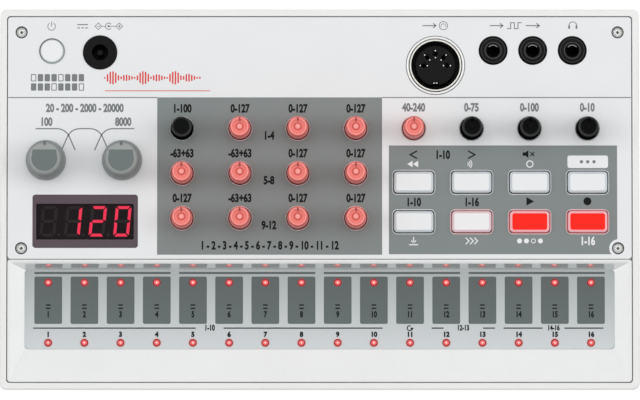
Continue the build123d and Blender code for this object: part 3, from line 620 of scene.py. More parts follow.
# Painted shade in the pointer notches of the small knobs; the encoder's knob has none
NOTCH_DROP = 0.58
NOTCH_SHADE_REACH = (1.5, 2.45)
mark_red = trim("mark_red", (0.42, 0.05, 0.045), 0.45)
mark_black = dull(trim("mark_black", (0.002, 0.002, 0.002), 0.45), 0.0)
for name in knob_names:
    if name in (*LARGE_KNOBS, "knob_sample_select"):
        continue
    shown, slot = (mark_black, "knob_black") if name in BLACK_KNOBS else (mark_red, "knob_red")
    mark = Sheet(name.replace("knob", "mark"), top(name) - NOTCH_DROP, shown, slot)
    x, y = middle(name)
    mark.line([(x, y + reach) for reach in NOTCH_SHADE_REACH], width=0.48)
    mark.finish(body_of(name))

# Painted shadow in the gap round the panel screws, and painted shade on the floor of their recesses
SCREW_HEAD = 3.0
RECESS_DROP = 0.45
screw_low, screw_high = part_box("panel_screws")
screw_shadow = trim("screw_shadow", (0.018, 0.021, 0.021), feature=0.2)
screw_gap_shadows = Sheet("screw_gap_shadows", panel_z, screw_shadow, "screw_steel")
recess_shade_green = trim("recess_shade_green", (0.07, 0.085, 0.06), feature=0.2)
screw_recess_shades = Sheet("screw_recess_shades", screw_high.z / MM - RECESS_DROP, recess_shade_green, "screw_steel")
for x in (screw_low.x / MM + SCREW_HEAD / 2, screw_high.x / MM - SCREW_HEAD / 2):
    for y in (screw_low.y / MM + SCREW_HEAD / 2, screw_high.y / MM - SCREW_HEAD / 2):
        screw_gap_shadows.hoop(x, y, radius=1.67, width=0.34)
        screw_recess_shades.shape(ring(x, y, radius=0.48, count=DOT_STEPS))
screw_gap_shadows.finish()
screw_recess_shades.finish()

# Painted highlights on the collars of the small jacks, and a painted reflection in their mouths
COLLAR_HIGHLIGHT_LINES = ((2.45, 0.3), (3.6, 0.16))
MOUTH_DROP = 0.4
mounts = {mount["name"]: [value / MM for value in mount["pos_m"]] for mount in frame["record"]["mounts"]}
jack_top = top("mini_jacks")
collar_highlight = trim("collar_highlight", (0.020, 0.020, 0.021), 0.4, feature=0.2)
mouth_reflection = ink("mouth_reflection", (0.25, 0.25, 0.25), 0.3)
collar_highlight_rings = Sheet("jack_collar_highlights", jack_top, collar_highlight, "socket_black")
mouth_reflection_arcs = Sheet("jack_mouth_reflections", jack_top - MOUTH_DROP, mouth_reflection, "socket_black")
for name in ("sync_in_socket", "sync_out_socket", "headphone_socket"):
    x, y = mounts[name][:2]
    for radius, width in COLLAR_HIGHLIGHT_LINES:
        collar_highlight_rings.hoop(x, y, radius, width)
    mouth_reflection_arcs.line(arc(x, y, radius=1.68, start=40, end=140, count=14), width=0.3)
collar_highlight_rings.finish()
mouth_reflection_arcs.finish()


def lathe(name, outline, x, y, material, count=72):
    """Ring turned about an upright axis from a closed outline of radius and height."""
    bm = bmesh.new()
    rows = []
    for i in range(count):
        turn = 2 * math.pi * i / count
        across = math.cos(turn)
        along = math.sin(turn)
        rows.append([bm.verts.new(((x + r * across) * MM, (y + r * along) * MM, z * MM)) for r, z in outline])
    for i, row in enumerate(rows):
        after = rows[(i + 1) % count]
        for k in range(len(outline)):
            face = bm.faces.new((row[k - 1], after[k - 1], after[k], row[k]))
            face.smooth = True
    bmesh.ops.recalc_face_normals(bm, faces=bm.faces)
    add_piece(name, bm, material)


# White ring in the bevel round the five-pin socket
RING_INNER = 8.12
RING_OUTER = 8.74
RING_ROUND = (RING_OUTER - RING_INNER) / 2
RING_DROP = 0.12
RING_FOOT = 0.9
socket_x, socket_y = middle("midi_shield")
ring_top = arc((RING_INNER + RING_OUTER) / 2, panel_z - RING_DROP, RING_ROUND, 0, 180, count=10)
ring_outline = [(RING_INNER, panel_z - RING_FOOT), (RING_OUTER, panel_z - RING_FOOT), *ring_top]
lathe("socket_ring", ring_outline, socket_x, socket_y, ring_white)

# Bright ends of the contact springs in the five-pin socket, and the marks in its key
PIN_COUNT = 5
PIN_ANGLE = 45
PIN_CIRCLE = 3.5
SPRING_REACH = 1.06
KEY_MARK = 5.18
KEY_MARK_APART = 0.4
KEY_MARK_SHAPE = (0.5, 0.28, 0.1)
pin_turns = [math.radians(PIN_ANGLE * i) for i in range(PIN_COUNT)]
contact_z = top("midi_contacts")
core_z = (panel_z + contact_z) / 2
spring_ends = Sheet("spring_ends", core_z, shield_metal, "shield_metal")
for turn in pin_turns:
    for reach in (PIN_CIRCLE - SPRING_REACH, PIN_CIRCLE + SPRING_REACH):
        place = (socket_x + reach * math.cos(turn), socket_y + reach * math.sin(turn))
        spring_ends.shape(ring(*place, radius=0.17, count=12))
spring_ends.finish()
key_marks = Sheet("key_marks", contact_z + INK, shield_metal, "shield_metal")
for side in (-1, 1):
    key_marks.shape(round_box(socket_x + side * KEY_MARK_APART, socket_y - KEY_MARK, *KEY_MARK_SHAPE))
key_marks.finish()

# Mirror-bright lining of the wall behind the keys
WALL_ANGLE = math.radians(55.0)
WALL_RISE = 2.48
LINING = 0.03
LINING_GAP = 0.005
SIDE_RUN = 4.295
SIDE_SPREAD = SIDE_RUN / (panel_z - plate_z)
BOX_FACES = ((0, 1, 3, 2), (4, 5, 7, 6), (0, 1, 5, 4), (2, 3, 7, 6), (0, 2, 6, 4), (1, 3, 7, 5))
plate_half = size("step_plate")[0] / 2
wall_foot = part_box("step_plate")[1].y / MM
lining_white = surface("lining_white", (0.90, 0.91, 0.91), 0.1, feature=0.5, depth=0.002,
                       mottle=0.02, edge=0.02)
metal(lining_white, share=0.78)


def make_wall_lining():
    """Thin strip on the wall, wider at its top where the side slopes spread."""
    bm = bmesh.new()
    corners = []
    for lift in (LINING_GAP, LINING_GAP + LINING):
        for rise in (0.0, WALL_RISE):
            half = plate_half + rise * SIDE_SPREAD
            y = wall_foot + rise / math.tan(WALL_ANGLE) - math.sin(WALL_ANGLE) * lift
            z = plate_z + rise + math.cos(WALL_ANGLE) * lift
            corners += [bm.verts.new((side * half * MM, y * MM, z * MM)) for side in (-1, 1)]
    for face in BOX_FACES:
        bm.faces.new([corners[i] for i in face])
    bmesh.ops.recalc_face_normals(bm, faces=bm.faces)
    add_piece("wall_lining", bm, lining_white)


make_wall_lining()

# Grey fields behind the knobs and the buttons, each by its ends in width and in depth
field_left, field_right, field_front, field_back = (-49.0, 18.85, -16.75, 30.8)
RIGHT_FIELD = (20.9, 89.75, -16.6, 16.25)
KNOB_CLEAR = 3.78
SCREW_PLACE = (90.0, -14.8)
SCREW_CLEAR = 2.7
HOLE_WIDTH = 12.6
HOLE_DEPTH = 7.1
HOLE_CORNER = 1.4
HOLE_CLEAR = 0.25


def hole_outline(name, reach):
    """Outline round a button hole, by how far it lies outside the hole's edge."""
    return round_box(*middle(name), HOLE_WIDTH + 2 * reach, HOLE_DEPTH + 2 * reach, HOLE_CORNER + reach)


def notched_field():
    """Right field, with a round bite where the screw sits."""
    x_low, x_high, y_low, y_high = RIGHT_FIELD
    x, y = SCREW_PLACE
    rise = math.degrees(math.acos((x_high - x) / SCREW_CLEAR))
    fall = 180 + math.degrees(math.asin((y - y_low) / SCREW_CLEAR))
    bite = arc(x, y, SCREW_CLEAR, rise, fall)
    return [(x_low, y_high), (x_low, y_low), *reversed(bite), (x_high, y_high)]


def in_left_field(name):
    x, y = middle(name)
    return field_left < x < field_right and field_front < y < field_back


field_knobs = [name for name in knob_names if in_left_field(name)]
left_outline = [(field_left, field_front), (field_right, field_front),
                (field_right, field_back), (field_left, field_back)]
fields = Sheet("print_fields", panel_z, ink_block, "plate_grey")
fields.shape(left_outline, *[ring(*middle(name), KNOB_CLEAR) for name in field_knobs])
fields.shape(notched_field(), *[hole_outline(name, HOLE_CLEAR) for name in button_names])
fields.finish()

# Painted highlights on the bevelled edges of the button holes
HIGHLIGHT_REACH = (0.24, 0.06)
hole_edge_highlight = trim("hole_edge_highlight", (0.86, 0.88, 0.88))
edge_highlight_sheet = Sheet("button_edge_highlights", panel_z, hole_edge_highlight, "panel_white")
for name in button_names:
    edge_highlight_sheet.shape(*[hole_outline(name, reach) for reach in HIGHLIGHT_REACH])
edge_highlight_sheet.finish()

# Painted red light, glowing faintly on the panel, that spills out of the holes of the lit buttons
SPILL_REACH = (0.14, -0.18)
spill_light_red = glow(trim("spill_light_red", (0.60, 0.27, 0.29)), (0.9, 0.22, 0.24), strength=0.07)
spill_light = Sheet("button_spill_light", panel_z + INK, spill_light_red, "button_red")
for name in (HALF_LIT_BUTTON, *LIT_BUTTONS):
    spill_light.shape(*[hole_outline(name, reach) for reach in SPILL_REACH])
spill_light.finish()

# Painted shade in the corners of the button holes
CORNER_SWEEP = 27.0
CORNER_INSET = 0.2
corner_shade = dull(trim("corner_shade", (0.014, 0.014, 0.015)), 0.1)
hole_corner_shades = Sheet("button_corner_shades", panel_z + 2 * INK, corner_shade, "module_black")
for name in button_names:
    x, y = middle(name)
    for side_x, side_y, start in CORNERS:
        turn = start + 45
        corner_x = x + side_x * (HOLE_WIDTH / 2 - HOLE_CORNER)
        corner_y = y + side_y * (HOLE_DEPTH / 2 - HOLE_CORNER)
        bend = arc(corner_x, corner_y, HOLE_CORNER - CORNER_INSET, turn - CORNER_SWEEP, turn + CORNER_SWEEP)
        hole_corner_shades.line(bend, width=0.26)
hole_corner_shades.finish()

# Painted shade in the gap round the power button, darker at the back left
SLANT = (0.42, -0.58, 0)
SLANT_RANGE = (-0.5, 0.3)
GAP_DARK = (0.06, 0.06, 0.06)
GAP_LIGHT = (0.46, 0.48, 0.48)
POWER_GAP_DROP = 0.2


def slanted_shade(material, dark, light):
    """Painted shade that passes from dark at the back left to light at the front right of a piece."""
    tree = material.node_tree
    along = vector_step(tree, "DOT_PRODUCT", coordinates(tree, "Generated"), SLANT)["Value"]
    share = remap(tree, along, SLANT_RANGE)
    return coloured(material, blend(tree, share, dark, light))


gap_shade = slanted_shade(trim("gap_shade", GAP_DARK), GAP_DARK, GAP_LIGHT)
power_gap_shade = Sheet("power_gap_shade", panel_z - POWER_GAP_DROP, gap_shade, "panel_white")
power_gap_shade.hoop(*middle("power_button"), radius=3.7, width=0.34)
power_gap_shade.finish()

# Lines in grey on the white panel
HEADER_Y = 30.76
HEADER_INSET = 0.1
HAIR = 0.28
FIGURES = 2.3
grey = Sheet("print_grey", panel_z, ink_grey, "knob_grey")
panel_low, panel_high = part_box("top_panel")
grey.line([(panel_low.x / MM + HEADER_INSET, HEADER_Y), (field_left, HEADER_Y)], HAIR)
grey.line([(field_right, HEADER_Y), (panel_high.x / MM - HEADER_INSET, HEADER_Y)], HAIR)

# Response curves over the large knobs
KNEE_RADIUS = 4.1
FLANK = 66.0
CURVE_INK = 0.34
CURVE_ENDS = (35.8, 134.7)
CURVE_BENDS = (57.1, 80.2, 90.2, 113.3)
LEVEL_ROW = 128.5
FOOT_ROW = 150.0
RISING_LIFT = 0.3
FALLING_LIFT = 0.9
level = px(0, LEVEL_ROW)[1]
foot = px(0, FOOT_ROW)[1]
bends = [px(column, 0)[0] for column in CURVE_BENDS]


def response_curve(bend_x, foot_y, side):
    """Round knee and straight flank of a filter's response, falling to one side."""
    knee = arc(bend_x, level - KNEE_RADIUS, KNEE_RADIUS, 90, 90 - side * FLANK)
    x, y = knee[-1]
    return [*knee, (x + side * (y - foot_y) / math.tan(math.radians(FLANK)), foot_y)]


grey.line([px(CURVE_ENDS[0], LEVEL_ROW), *response_curve(bends[0], foot, 1)], CURVE_INK)
grey.line([px(CURVE_ENDS[1], LEVEL_ROW), *response_curve(bends[3], foot, -1)], CURVE_INK)
rising = response_curve(bends[1], foot + RISING_LIFT, -1)
falling = response_curve(bends[2], foot + FALLING_LIFT, 1)
grey.line(rising[::-1] + falling, CURVE_INK)
CURVE_NUMBERS = (("100", 46.5, 121.5), ("8000", 123.5, 121.5), ("20 - 200 - 2000 - 20000", 85.0, 107.7))
for words, column, row in CURVE_NUMBERS:
    grey.text(words, *px(column, row), FIGURES)


# Signs of the header
def power_sign(x, y, radius=1.15, bar=1.5, width=0.2):
    grey.line(arc(x, y, radius, start=120, end=420, count=24), width)
    grey.line([(x, y), (x, y + bar)], width)


def direct_current_sign(x, y, half=1.6, rise=0.5, dash_half=0.4, dash_pitch=1.2, width=0.3):
    grey.dash(x, y + rise, half, width)
    for step in (-1, 0, 1):
        grey.dash(x + step * dash_pitch, y - rise, dash_half, width)


def diamond(x, y, reach):
    return [(x - reach, y), (x, y + reach), (x + reach, y), (x, y - reach)]


def polarity_sign(minus, centre, plus, outer=1.15, inner=0.88, half=0.45, link=1.1, width=0.18):
    """Plug in the middle, with minus and plus in diamonds at its sides."""
    cup, cup_width, pin = (0.95, 0.22, 0.32)
    for spot in (minus, plus):
        grey.shape(diamond(*spot, outer), diamond(*spot, inner))
        grey.dash(*spot, half, width)
    grey.line([(plus[0], plus[1] - half), (plus[0], plus[1] + half)], width)
    grey.line(arc(*centre, cup, start=40, end=320, count=24), cup_width)
    grey.shape(ring(*centre, pin))
    grey.line([(minus[0] + link, minus[1]), (centre[0] - cup, centre[1])], width)
    grey.line([centre, (plus[0] - link, plus[1])], width)


def arrow(sheet, start, end, width, head=1.1, lean=0.7):
    """Straight arrow with an open head."""
    x, y = end
    turn = math.atan2(y - start[1], x - start[0])
    sheet.line([start, end], width)
    barbs = [(x - head * math.cos(turn + side), y - head * math.sin(turn + side)) for side in (-lean, lean)]
    sheet.line([barbs[0], end, barbs[1]], width)


def five_pin_sign(x, y, radius=1.25, width=0.2, circle=0.72, drop=0.15, pin=0.17):
    grey.hoop(x, y, radius, width)
    for turn in pin_turns:
        grey.shape(ring(x + circle * math.cos(turn), y - drop + circle * math.sin(turn), pin, count=16))


def pulse_sign(x, y, beat=1.1, rise=0.9, width=0.26):
    beats = ((-2, -1), (-1, -1), (-1, 1), (0, 1), (0, -1), (1, -1), (1, 1), (2, 1))
    grey.line([(x + across * beat, y + up * rise) for across, up in beats], width)


def headphone_sign(x, y, radius=1.15, drop=0.2, width=0.22, pad_x=1.1, pad_drop=0.65, pad=(0.55, 1.1, 0.2)):
    grey.line(arc(x, y - drop, radius, 0, 180, count=20), width)
    for side in (-1, 1):
        grey.shape(round_box(x + side * pad_x, y - pad_drop, *pad))


# Places of the header's signs
SUPPLY_ROW = 25.7
SIGNAL_ROW = 25.1
POWER_PLACE = px(51.6, 25.9)
CURRENT_PLACE = px(82.6, SUPPLY_ROW)
POLARITY_COLUMNS = (98.4, 108.7, 119.4)
FIVE_PIN_PLACE = px(444.0, SIGNAL_ROW)
PULSE_PLACE = px(515.0, SIGNAL_ROW)
HEADPHONE_PLACE = px(573.6, 24.4)
ARROW_COLUMNS = ((423.0, 436.5), (490.5, 503.5), (526.5, 540.0))
power_sign(*POWER_PLACE)
direct_current_sign(*CURRENT_PLACE)
polarity_sign(*[px(column, SUPPLY_ROW) for column in POLARITY_COLUMNS])
five_pin_sign(*FIVE_PIN_PLACE)
pulse_sign(*PULSE_PLACE)
headphone_sign(*HEADPHONE_PLACE)
for start, end in ARROW_COLUMNS:
    arrow(grey, px(start, SIGNAL_ROW), px(end, SIGNAL_ROW), width=0.3)

# Fine line round the bevel of the five-pin socket
grey.hoop(socket_x, socket_y, radius=8.9, width=0.17)

# Numbers behind the knobs on the white panel
LABEL_RISE = 6.4


def number_knobs(sheet, numbers, rise):
    for name, words in numbers.items():
        x, y = middle(name)
        sheet.text(words, x, y + rise, FIGURES)


panel_numbers = {"knob_tempo": "40-240", "knob_swing": "0-75", "knob_reverb_mix": "0-100",
                 "knob_volume": "0-10"}
number_knobs(grey, panel_numbers, LABEL_RISE)
grey.finish()

# Generic pattern of steps at the left of the header
PATTERN_COLUMNS = 8
PATTERN_ROWS = 2
PATTERN_PITCH = (2.06, 2.8)
PATTERN_START = (1.0, 1.3)
CELL_SHAPE = (1.6, 2.2, 0.25)
HOLLOW_SHAPE = (1.1, 1.7, 0.15)
HOLLOW_COLUMNS = ((3, 7), (0, 4))
badge = Sheet("print_badge", panel_z, ink_grey, "knob_grey")
pattern_x, pattern_y = px(30.4, 91.0)
for column in range(PATTERN_COLUMNS):
    for row in range(PATTERN_ROWS):
        x = pattern_x + PATTERN_START[0] + column * PATTERN_PITCH[0]
        y = pattern_y + PATTERN_START[1] + row * PATTERN_PITCH[1]
        outlines = [round_box(x, y, *CELL_SHAPE)]
        if column in HOLLOW_COLUMNS[row]:
            outlines.append(round_box(x, y, *HOLLOW_SHAPE))
        badge.shape(*outlines)
badge.finish()

# Generic wave beside it: bars that swell three times, over a line
WAVE_BARS = 36
WAVE_PITCH = 0.82
WAVE_BAR = 0.46
WAVE_CORNER = 0.2
WAVE_LOW = 0.5
WAVE_SWELL = 3.6
WAVE_BEAT = 0.55
BURST = 12
BURST_PEAK = 2
BURST_SPREAD = 40
WAVE_LINE = 31.8
wave = Sheet("print_wave", panel_z, ink_red, "button_red")
wave_x, wave_y = px(105.0, 77.5)
for i in range(WAVE_BARS):
    swell = abs(math.sin(i * WAVE_BEAT)) * math.exp(-((i % BURST) - BURST_PEAK) ** 2 / BURST_SPREAD)
    tall = WAVE_LOW + WAVE_SWELL * swell
    wave.shape(round_box(wave_x + i * WAVE_PITCH, wave_y, WAVE_BAR, tall, WAVE_CORNER))
line_x, line_y = px(105.0, 90.5)
wave.line([(line_x, line_y), (line_x + WAVE_LINE, line_y)], width=0.22)
wave.finish()

# Black numbers on the grey fields, and the columns of the four buttons in a row
FIELD_RISE = 6.08
ROW_LABEL = (-8.74, -2.1)
FIRST_COLUMN, SECOND_COLUMN, THIRD_COLUMN, FOURTH_COLUMN = (414.0, 472.0, 530.3, 588.0)
POINT_ROW = 154.6
BETWEEN_ROW = 202.0
BLACK_NUMBERS = (
    (" - ".join(str(i + 1) for i in range(len(field_knobs))), 270.0, 245.4),
    ("1-10", 443.0, POINT_ROW), ("1-10", FIRST_COLUMN, BETWEEN_ROW), ("1-16", SECOND_COLUMN, BETWEEN_ROW),
)
black = Sheet("print_black", panel_z + INK, ink_black, "module_black")
field_numbers = dict.fromkeys(field_knobs, "0-127")
for name in ("knob_speed", "knob_pitch_amount", "knob_pan"):
    field_numbers[name] = "-63+63"
field_numbers["knob_sample_select"] = "1-100"
number_knobs(black, field_numbers, FIELD_RISE)
for name, words in (("knob_length", "1-4"), ("knob_pitch_attack", "5-8"), ("knob_amp_attack", "9-12")):
    x, y = middle(name)
    black.text(words, x + ROW_LABEL[0], y + ROW_LABEL[1], FIGURES)
for words, column, row in BLACK_NUMBERS:
    black.text(words, *px(column, row), FIGURES)


# Signs on the grey fields; points look to the right, or to the left where reach is below 0
def point_corners(x, y, reach, rise):
    return [(x - reach, y + rise), (x, y), (x - reach, y - rise)]


def mute_sign(x, y, narrow=0.5, wide=1.2, cross_rise=0.6, width=0.3):
    back, neck, front, cross_left, cross_right = (-1.3, -0.5, 0.4, 1.0, 2.2)
    horn = ((back, -narrow), (neck, -narrow), (front, -wide), (front, wide), (neck, narrow), (back, narrow))
    black.shape([(x + across, y + up) for across, up in horn])
    for rise in (-cross_rise, cross_rise):
        black.line([(x + cross_left, y - rise), (x + cross_right, y + rise)], width)


# Places of the black signs
POINT_LEFT = px(410.7, POINT_ROW)
POINT_RIGHT = px(475.3, POINT_ROW)
PLAY_TIP = px(534.6, 201.4)
RECORD_PLACE = px(587.8, 201.3)
MUTE_PLACE = px(527.5, 154.0)
POINT_REACH = 6.8 * PIXEL
POINT_RISE = 3.8 * PIXEL
POINT_INK = 0.4
PLAY_REACH = 7.7 * PIXEL
PLAY_RISE = 4.2 * PIXEL
black.line(point_corners(*POINT_LEFT, -POINT_REACH, POINT_RISE), POINT_INK)
black.line(point_corners(*POINT_RIGHT, POINT_REACH, POINT_RISE), POINT_INK)
black.shape(point_corners(*PLAY_TIP, PLAY_REACH, PLAY_RISE))
black.shape(ring(*RECORD_PLACE, radius=1.2))
mute_sign(*MUTE_PLACE)
black.finish()

# White signs on the grey fields
white = Sheet("print_white", panel_z + INK, ink_white, "panel_white")


def reverse_sign(x, y, shift=-1.1, pitch=1.7, reach=1.6, rise=1.0):
    for step in (0, 1):
        white.shape(point_corners(x + shift + step * pitch - reach / 2, y, -reach, rise))


def echo_sign(x, y, count=3, shift=-1.0, first=0.6, pitch=0.55, width=0.28):
    for step in range(count):
        white.line(arc(x + shift, y, first + step * pitch, start=-45, end=45, count=10), width)


def store_sign(x, y, tail=1.2, tip=-0.7, base=-1.15, base_half=1.4, width=0.34):
    arrow(white, (x, y + tail), (x, y + tip), width)
    white.dash(x, y + base, base_half, width)


def jump_sign(x, y, pitch=1.3, reach=1.0, width=0.34):
    """Three open points one after the other."""
    for step in (-1, 0, 1):
        white.line(point_corners(x + step * pitch + reach / 2, y, reach, reach), width)


def steps_sign(x, y, count=4, open_step=2, pitch=2.1, dot=0.75, open_radius=0.62, open_width=0.26):
    """Row of dots, one of them open."""
    for step in range(count):
        dot_x = x + (step - (count - 1) / 2) * pitch
        if step == open_step:
            white.hoop(dot_x, y, open_radius, open_width)
        else:
            white.shape(ring(dot_x, y, dot, DOT_STEPS))


# Places of the white signs, and the plate with three dots
UPPER_ROW = 164.0
LOWER_ROW = 241.0
ECHO_COLUMN = 470.0
PLATE_SHAPE = (12.24, 3.8, 0.7)
DOT_PITCH = 1.9
plate_x, plate_y = px(588.2, 161.7)
white.shape(round_box(plate_x, plate_y, *PLATE_SHAPE))
reverse_sign(*px(FIRST_COLUMN, UPPER_ROW))
echo_sign(*px(ECHO_COLUMN, UPPER_ROW))
white.hoop(*px(THIRD_COLUMN, UPPER_ROW), radius=0.95, width=0.34)
store_sign(*px(FIRST_COLUMN, LOWER_ROW))
jump_sign(*px(SECOND_COLUMN, LOWER_ROW))
steps_sign(*px(THIRD_COLUMN, LOWER_ROW))
white.text("1-16", *px(FOURTH_COLUMN, LOWER_ROW), FIGURES)
white.finish()
dots = Sheet("print_dots", panel_z + 2 * INK, ink_grey, "knob_grey")
for step in (-1, 0, 1):
    dots.shape(ring(plate_x + step * DOT_PITCH, plate_y, radius=0.5, count=DOT_STEPS))
dots.finish()

# Touch keys, and a line over each group of them
KEY_WIDTH = 8.36
KEY_TOP = -23.2
KEY_FOOT = -37.5
KEY_CORNER = 0.5
LAMP_RING = 1.34
GROUP = 4
GROUP_Y = -22.12
keys = Sheet("print_keys", plate_z, ink_key, "plate_grey")
for x in step_x:
    keys.shape(round_box(x, (KEY_TOP + KEY_FOOT) / 2, KEY_WIDTH, KEY_TOP - KEY_FOOT, KEY_CORNER),
               ring(x, lamp_rows[0], LAMP_RING))
for first in range(0, STEP_COUNT, GROUP):
    left = step_x[first] - KEY_WIDTH / 2
    right = step_x[first + GROUP - 1] + KEY_WIDTH / 2
    keys.line([(left, GROUP_Y), (right, GROUP_Y)], width=0.66)
keys.finish()

# Painted red light round the lamps of the keys, and painted pale red light round the front lamps
LAMP_SPILL_GAP = 0.06
LAMP_SPILL_RADIUS = (LAMP_RING + LAMP / 2 + LAMP_SPILL_GAP) / 2
LAMP_SPILL_WIDTH = LAMP_RING - LAMP / 2 - LAMP_SPILL_GAP
HALO_RADIUS = LAMP / 2 + 0.19
HALO_WIDTH = 0.3


def lamp_light_rings(name, material, y, radius, width):
    """Painted rings of lamp light on the plate round one row of lamps."""
    rings = Sheet(name, plate_z, material, "lamp_red")
    for x in step_x:
        rings.hoop(x, y, radius, width)
    rings.finish()


lamp_spill_red = trim("lamp_spill_red", (0.40, 0.15, 0.15), 0.45)
halo_light_pink = trim("halo_light_pink", (0.73, 0.53, 0.53), 0.45)
lamp_light_rings("lamp_spill_rings", lamp_spill_red, lamp_rows[0], LAMP_SPILL_RADIUS, LAMP_SPILL_WIDTH)
lamp_light_rings("lamp_halos", halo_light_pink, lamp_rows[1], HALO_RADIUS, HALO_WIDTH)

# Numbers of the keys under two bars, and numbers of the front lamps
KEY_NUMBER_Y = -34.6
KEY_BARS = (-31.8, -32.8)
LAMP_NUMBER_Y = -40.64
strip = Sheet("print_strip", plate_z + INK, ink_black, "module_black")
for i, x in enumerate(step_x):
    strip.text(str(i + 1), x, KEY_NUMBER_Y, height=1.7)
    strip.text(str(i + 1), x, LAMP_NUMBER_Y, height=1.38, squeeze=0.96, weight=0.06)
    for y in KEY_BARS:
        strip.dash(x, y, half=0.7, width=0.4)

# Lines under the keys that belong together, with their numbers
JOIN_ROW = 327.8
JOIN_NUMBER_ROW = 327.4
JOIN_COLUMNS = ((33.5, 196.0), (224.0, 383.0), (432.0, 444.0), (483.5, 495.5), (504.0, 543.0), (565.0, 604.0))
JOIN_NUMBERS = (("1-10", 210.0, 1.6), ("12-13", 463.6, 1.5), ("14-16", 554.0, 1.5))
LOOP_PLACE = px(410.0, JOIN_ROW)
for first, last in JOIN_COLUMNS:
    strip.line([px(first, JOIN_ROW), px(last, JOIN_ROW)], width=0.34)
for words, column, height in JOIN_NUMBERS:
    strip.text(words, *px(column, JOIN_NUMBER_ROW), height)


def loop_sign(x, y, radius=0.72, width=0.3):
    head_left, head_right, head_top, head_tip = (0.2, 1.25, 0.1, -0.75)
    strip.line(arc(x, y, radius, start=60, end=360, count=20), width)
    strip.shape([(x + head_left, y + head_top), (x + head_right, y + head_top), (x + radius, y + head_tip)])


loop_sign(*LOOP_PLACE)
strip.finish()

# Mauve border printed on the window
border_mauve = dull(surface("border_mauve", (0.090, 0.061, 0.078), 0.4, feature=0.4, depth=0.004), 0.3)
border = Sheet("window_border", top("display_window"), border_mauve, "window_tint")
view_left, view_top = px(36.0, 203.8)
view_right, view_foot = px(134.2, 239.6)
view = round_box((view_left + view_right) / 2, (view_top + view_foot) / 2,
                 view_right - view_left, view_top - view_foot, corner=0.6)
border.shape(round_box(*middle("display_window"), *size("display_window"), corner=0.7), view)
border.finish()

# Four seven-segment figures under the window
FIGURE_PITCH = 7.42
FIGURE_WIDTH = 4.75
FIGURE_TALL = 9.2
BAR = 0.88
SEGMENT_GAP = 0.15
CORNER_REACH = 0.35
LEAN = 0.095
POINT_SHIFT = (0.7, 0.5)
LAST_FIGURE = (-59.53, -6.56)
SEGMENTS = {
    "a": ((0, 2), (1, 2)), "b": ((1, 2), (1, 1)), "c": ((1, 1), (1, 0)), "d": ((1, 0), (0, 0)),
    "e": ((0, 0), (0, 1)), "f": ((0, 1), (0, 2)), "g": ((0, 1), (1, 1)),
}
SHOWN = ("", "bc", "abged", "abcdef")


def segment(start, end, place):
    """Bar between two corners of a figure, mitred where it meets the next bar."""
    wide = FIGURE_WIDTH - BAR
    tall = (FIGURE_TALL - BAR) / 2
    first = Vector(((start[0] - 0.5) * wide, (start[1] - 1) * tall))
    last = Vector(((end[0] - 0.5) * wide, (end[1] - 1) * tall))
    along = (last - first).normalized()
    out = Vector((-along.y, along.x)) * BAR / 2
    tip = along * BAR / 2
    first += along * SEGMENT_GAP
    last -= along * SEGMENT_GAP
    if start[1] == end[1] == 1:
        corners = [first, first + tip + out, last - tip + out, last, last - tip - out, first + tip - out]
    else:
        reach_first = 0.0 if start[1] == 1 else CORNER_REACH
        reach_last = 0.0 if end[1] == 1 else CORNER_REACH
        corners = [first - reach_first * tip + out, last + reach_last * tip + out,
                   last - tip - out, first + tip - out]
    return [(place[0] + c.x + c.y * LEAN, place[1] + c.y) for c in corners]


digit_lit = surface("digit_lit", (0.5, 0.02, 0.03), 0.4, feature=0.3, depth=0.004)
glow(digit_lit, (0.95, 0.030, 0.092), strength=2.0)
digit_off = surface("digit_off", (0.05, 0.042, 0.045), 0.5, feature=0.3, depth=0.004)
lit = Sheet("figures_lit", module_z, digit_lit, "lamp_red")
unlit = Sheet("figures_unlit", module_z, digit_off, "module_black")
for i, shown in enumerate(SHOWN):
    x = LAST_FIGURE[0] + (i - len(SHOWN) + 1) * FIGURE_PITCH
    y = LAST_FIGURE[1]
    for letter, (start, end) in SEGMENTS.items():
        sheet = lit if letter in shown else unlit
        sheet.shape(segment(start, end, (x, y)))
    point_x = x + FIGURE_WIDTH / 2 + POINT_SHIFT[0]
    point_y = y - FIGURE_TALL / 2 + POINT_SHIFT[1]
    unlit.shape(ring(point_x, point_y, radius=0.45, count=20))
lit.finish()
unlit.finish()

# White floor that keeps a soft shadow, in metres
WHITE = (1, 1, 1, 1)
FLOOR_REACH = 3.0
FLOOR_COLOUR = (0.38, 0.38, 0.38, 1)
FLOOR_ROUGHNESS = 0.9
FLOOR_GLOW = 0.81


def make_floor_material():
    """Grey to the light, and near white to the camera and to gloss and glass."""
    material, tree, shader = new_material("studio_floor")
    path = tree.nodes.new("ShaderNodeLightPath").outputs
    seen = path["Is Camera Ray"]
    for kind in ("Is Glossy Ray", "Is Transmission Ray"):
        either = tree.nodes.new("ShaderNodeMath")
        either.operation = "MAXIMUM"
        tree.links.new(seen, either.inputs[0])
        tree.links.new(path[kind], either.inputs[1])
        seen = either.outputs["Value"]
    tree.links.new(remap(tree, seen, (0, 1), (0, FLOOR_GLOW)), shader.inputs["Emission Strength"])
    set_values(material, {"Base Color": FLOOR_COLOUR, "Emission Color": WHITE, "Roughness": FLOOR_ROUGHNESS})
    return dull(material, 0.0)


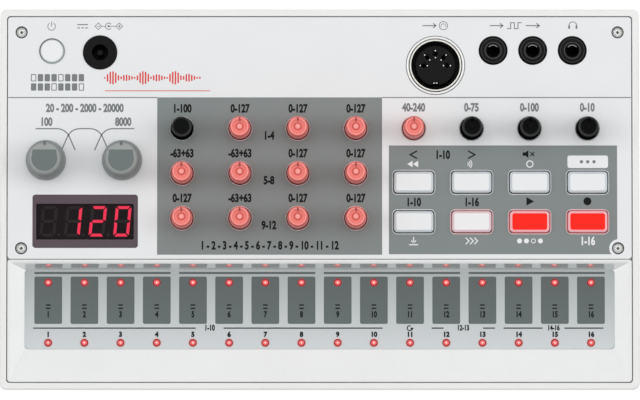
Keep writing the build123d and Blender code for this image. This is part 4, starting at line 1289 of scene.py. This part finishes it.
floor_mesh = bpy.data.meshes.new("studio_floor")
corners = [(sx * FLOOR_REACH, sy * FLOOR_REACH, 0) for sx, sy in ((-1, -1), (1, -1), (1, 1), (-1, 1))]
floor_mesh.from_pydata(corners, [], [(0, 1, 2, 3)])
floor_mesh.materials.append(make_floor_material())
floor = bpy.data.objects.new("studio_floor", floor_mesh)
bpy.context.scene.collection.objects.link(floor)

# Soft boxes at both sides, one behind, and an even sky, in metres and watts
SKY_STRENGTH = 0.53


def soft_box(name, place, width, height, power):
    light = bpy.data.lights.new(name, "AREA")
    light.shape = "RECTANGLE"
    light.size = width
    light.size_y = height
    light.energy = power
    lamp = bpy.data.objects.new(name, light)
    lamp.location = place
    lamp.rotation_euler = (-Vector(place)).to_track_quat("-Z", "Y").to_euler()
    bpy.context.scene.collection.objects.link(lamp)


soft_box("light_left", (-0.95, 0.10, 0.80), width=0.7, height=0.9, power=3.7)
soft_box("light_right", (0.95, 0.10, 0.80), width=0.7, height=0.9, power=4.05)
soft_box("light_back", (0.0, 0.45, 1.35), width=1.4, height=0.7, power=5.1)
world = bpy.data.worlds.new("studio_sky")
world.use_nodes = True
sky = world.node_tree.nodes["Background"]
sky.inputs["Color"].default_value = WHITE
sky.inputs["Strength"].default_value = SKY_STRENGTH
bpy.context.scene.world = world

# Camera of the photograph, leaning a little to the front; its distance is in metres
CAMERA_DISTANCE = 2.0
CAMERA_LEAN = math.radians(3.3)
CAMERA_SHIFT = 0.4
target_row = MIDDLE_ROW - PHOTO_HEIGHT / 2
target = Vector((CAMERA_SHIFT * PIXEL * MM, target_row * PIXEL * MM, panel_z * MM))
lens = bpy.data.cameras.new("camera")
lens.sensor_fit = "HORIZONTAL"
lens.angle = 2 * math.atan(PHOTO_WIDTH * PIXEL * MM / 2 / CAMERA_DISTANCE)
camera = bpy.data.objects.new("camera", lens)
camera.location = target + CAMERA_DISTANCE * Vector((0, -math.sin(CAMERA_LEAN), math.cos(CAMERA_LEAN)))
camera.rotation_euler = (CAMERA_LEAN, 0, 0)
bpy.context.scene.collection.objects.link(camera)
bpy.context.scene.camera = camera
bpy.context.scene.view_settings.view_transform = "Standard"
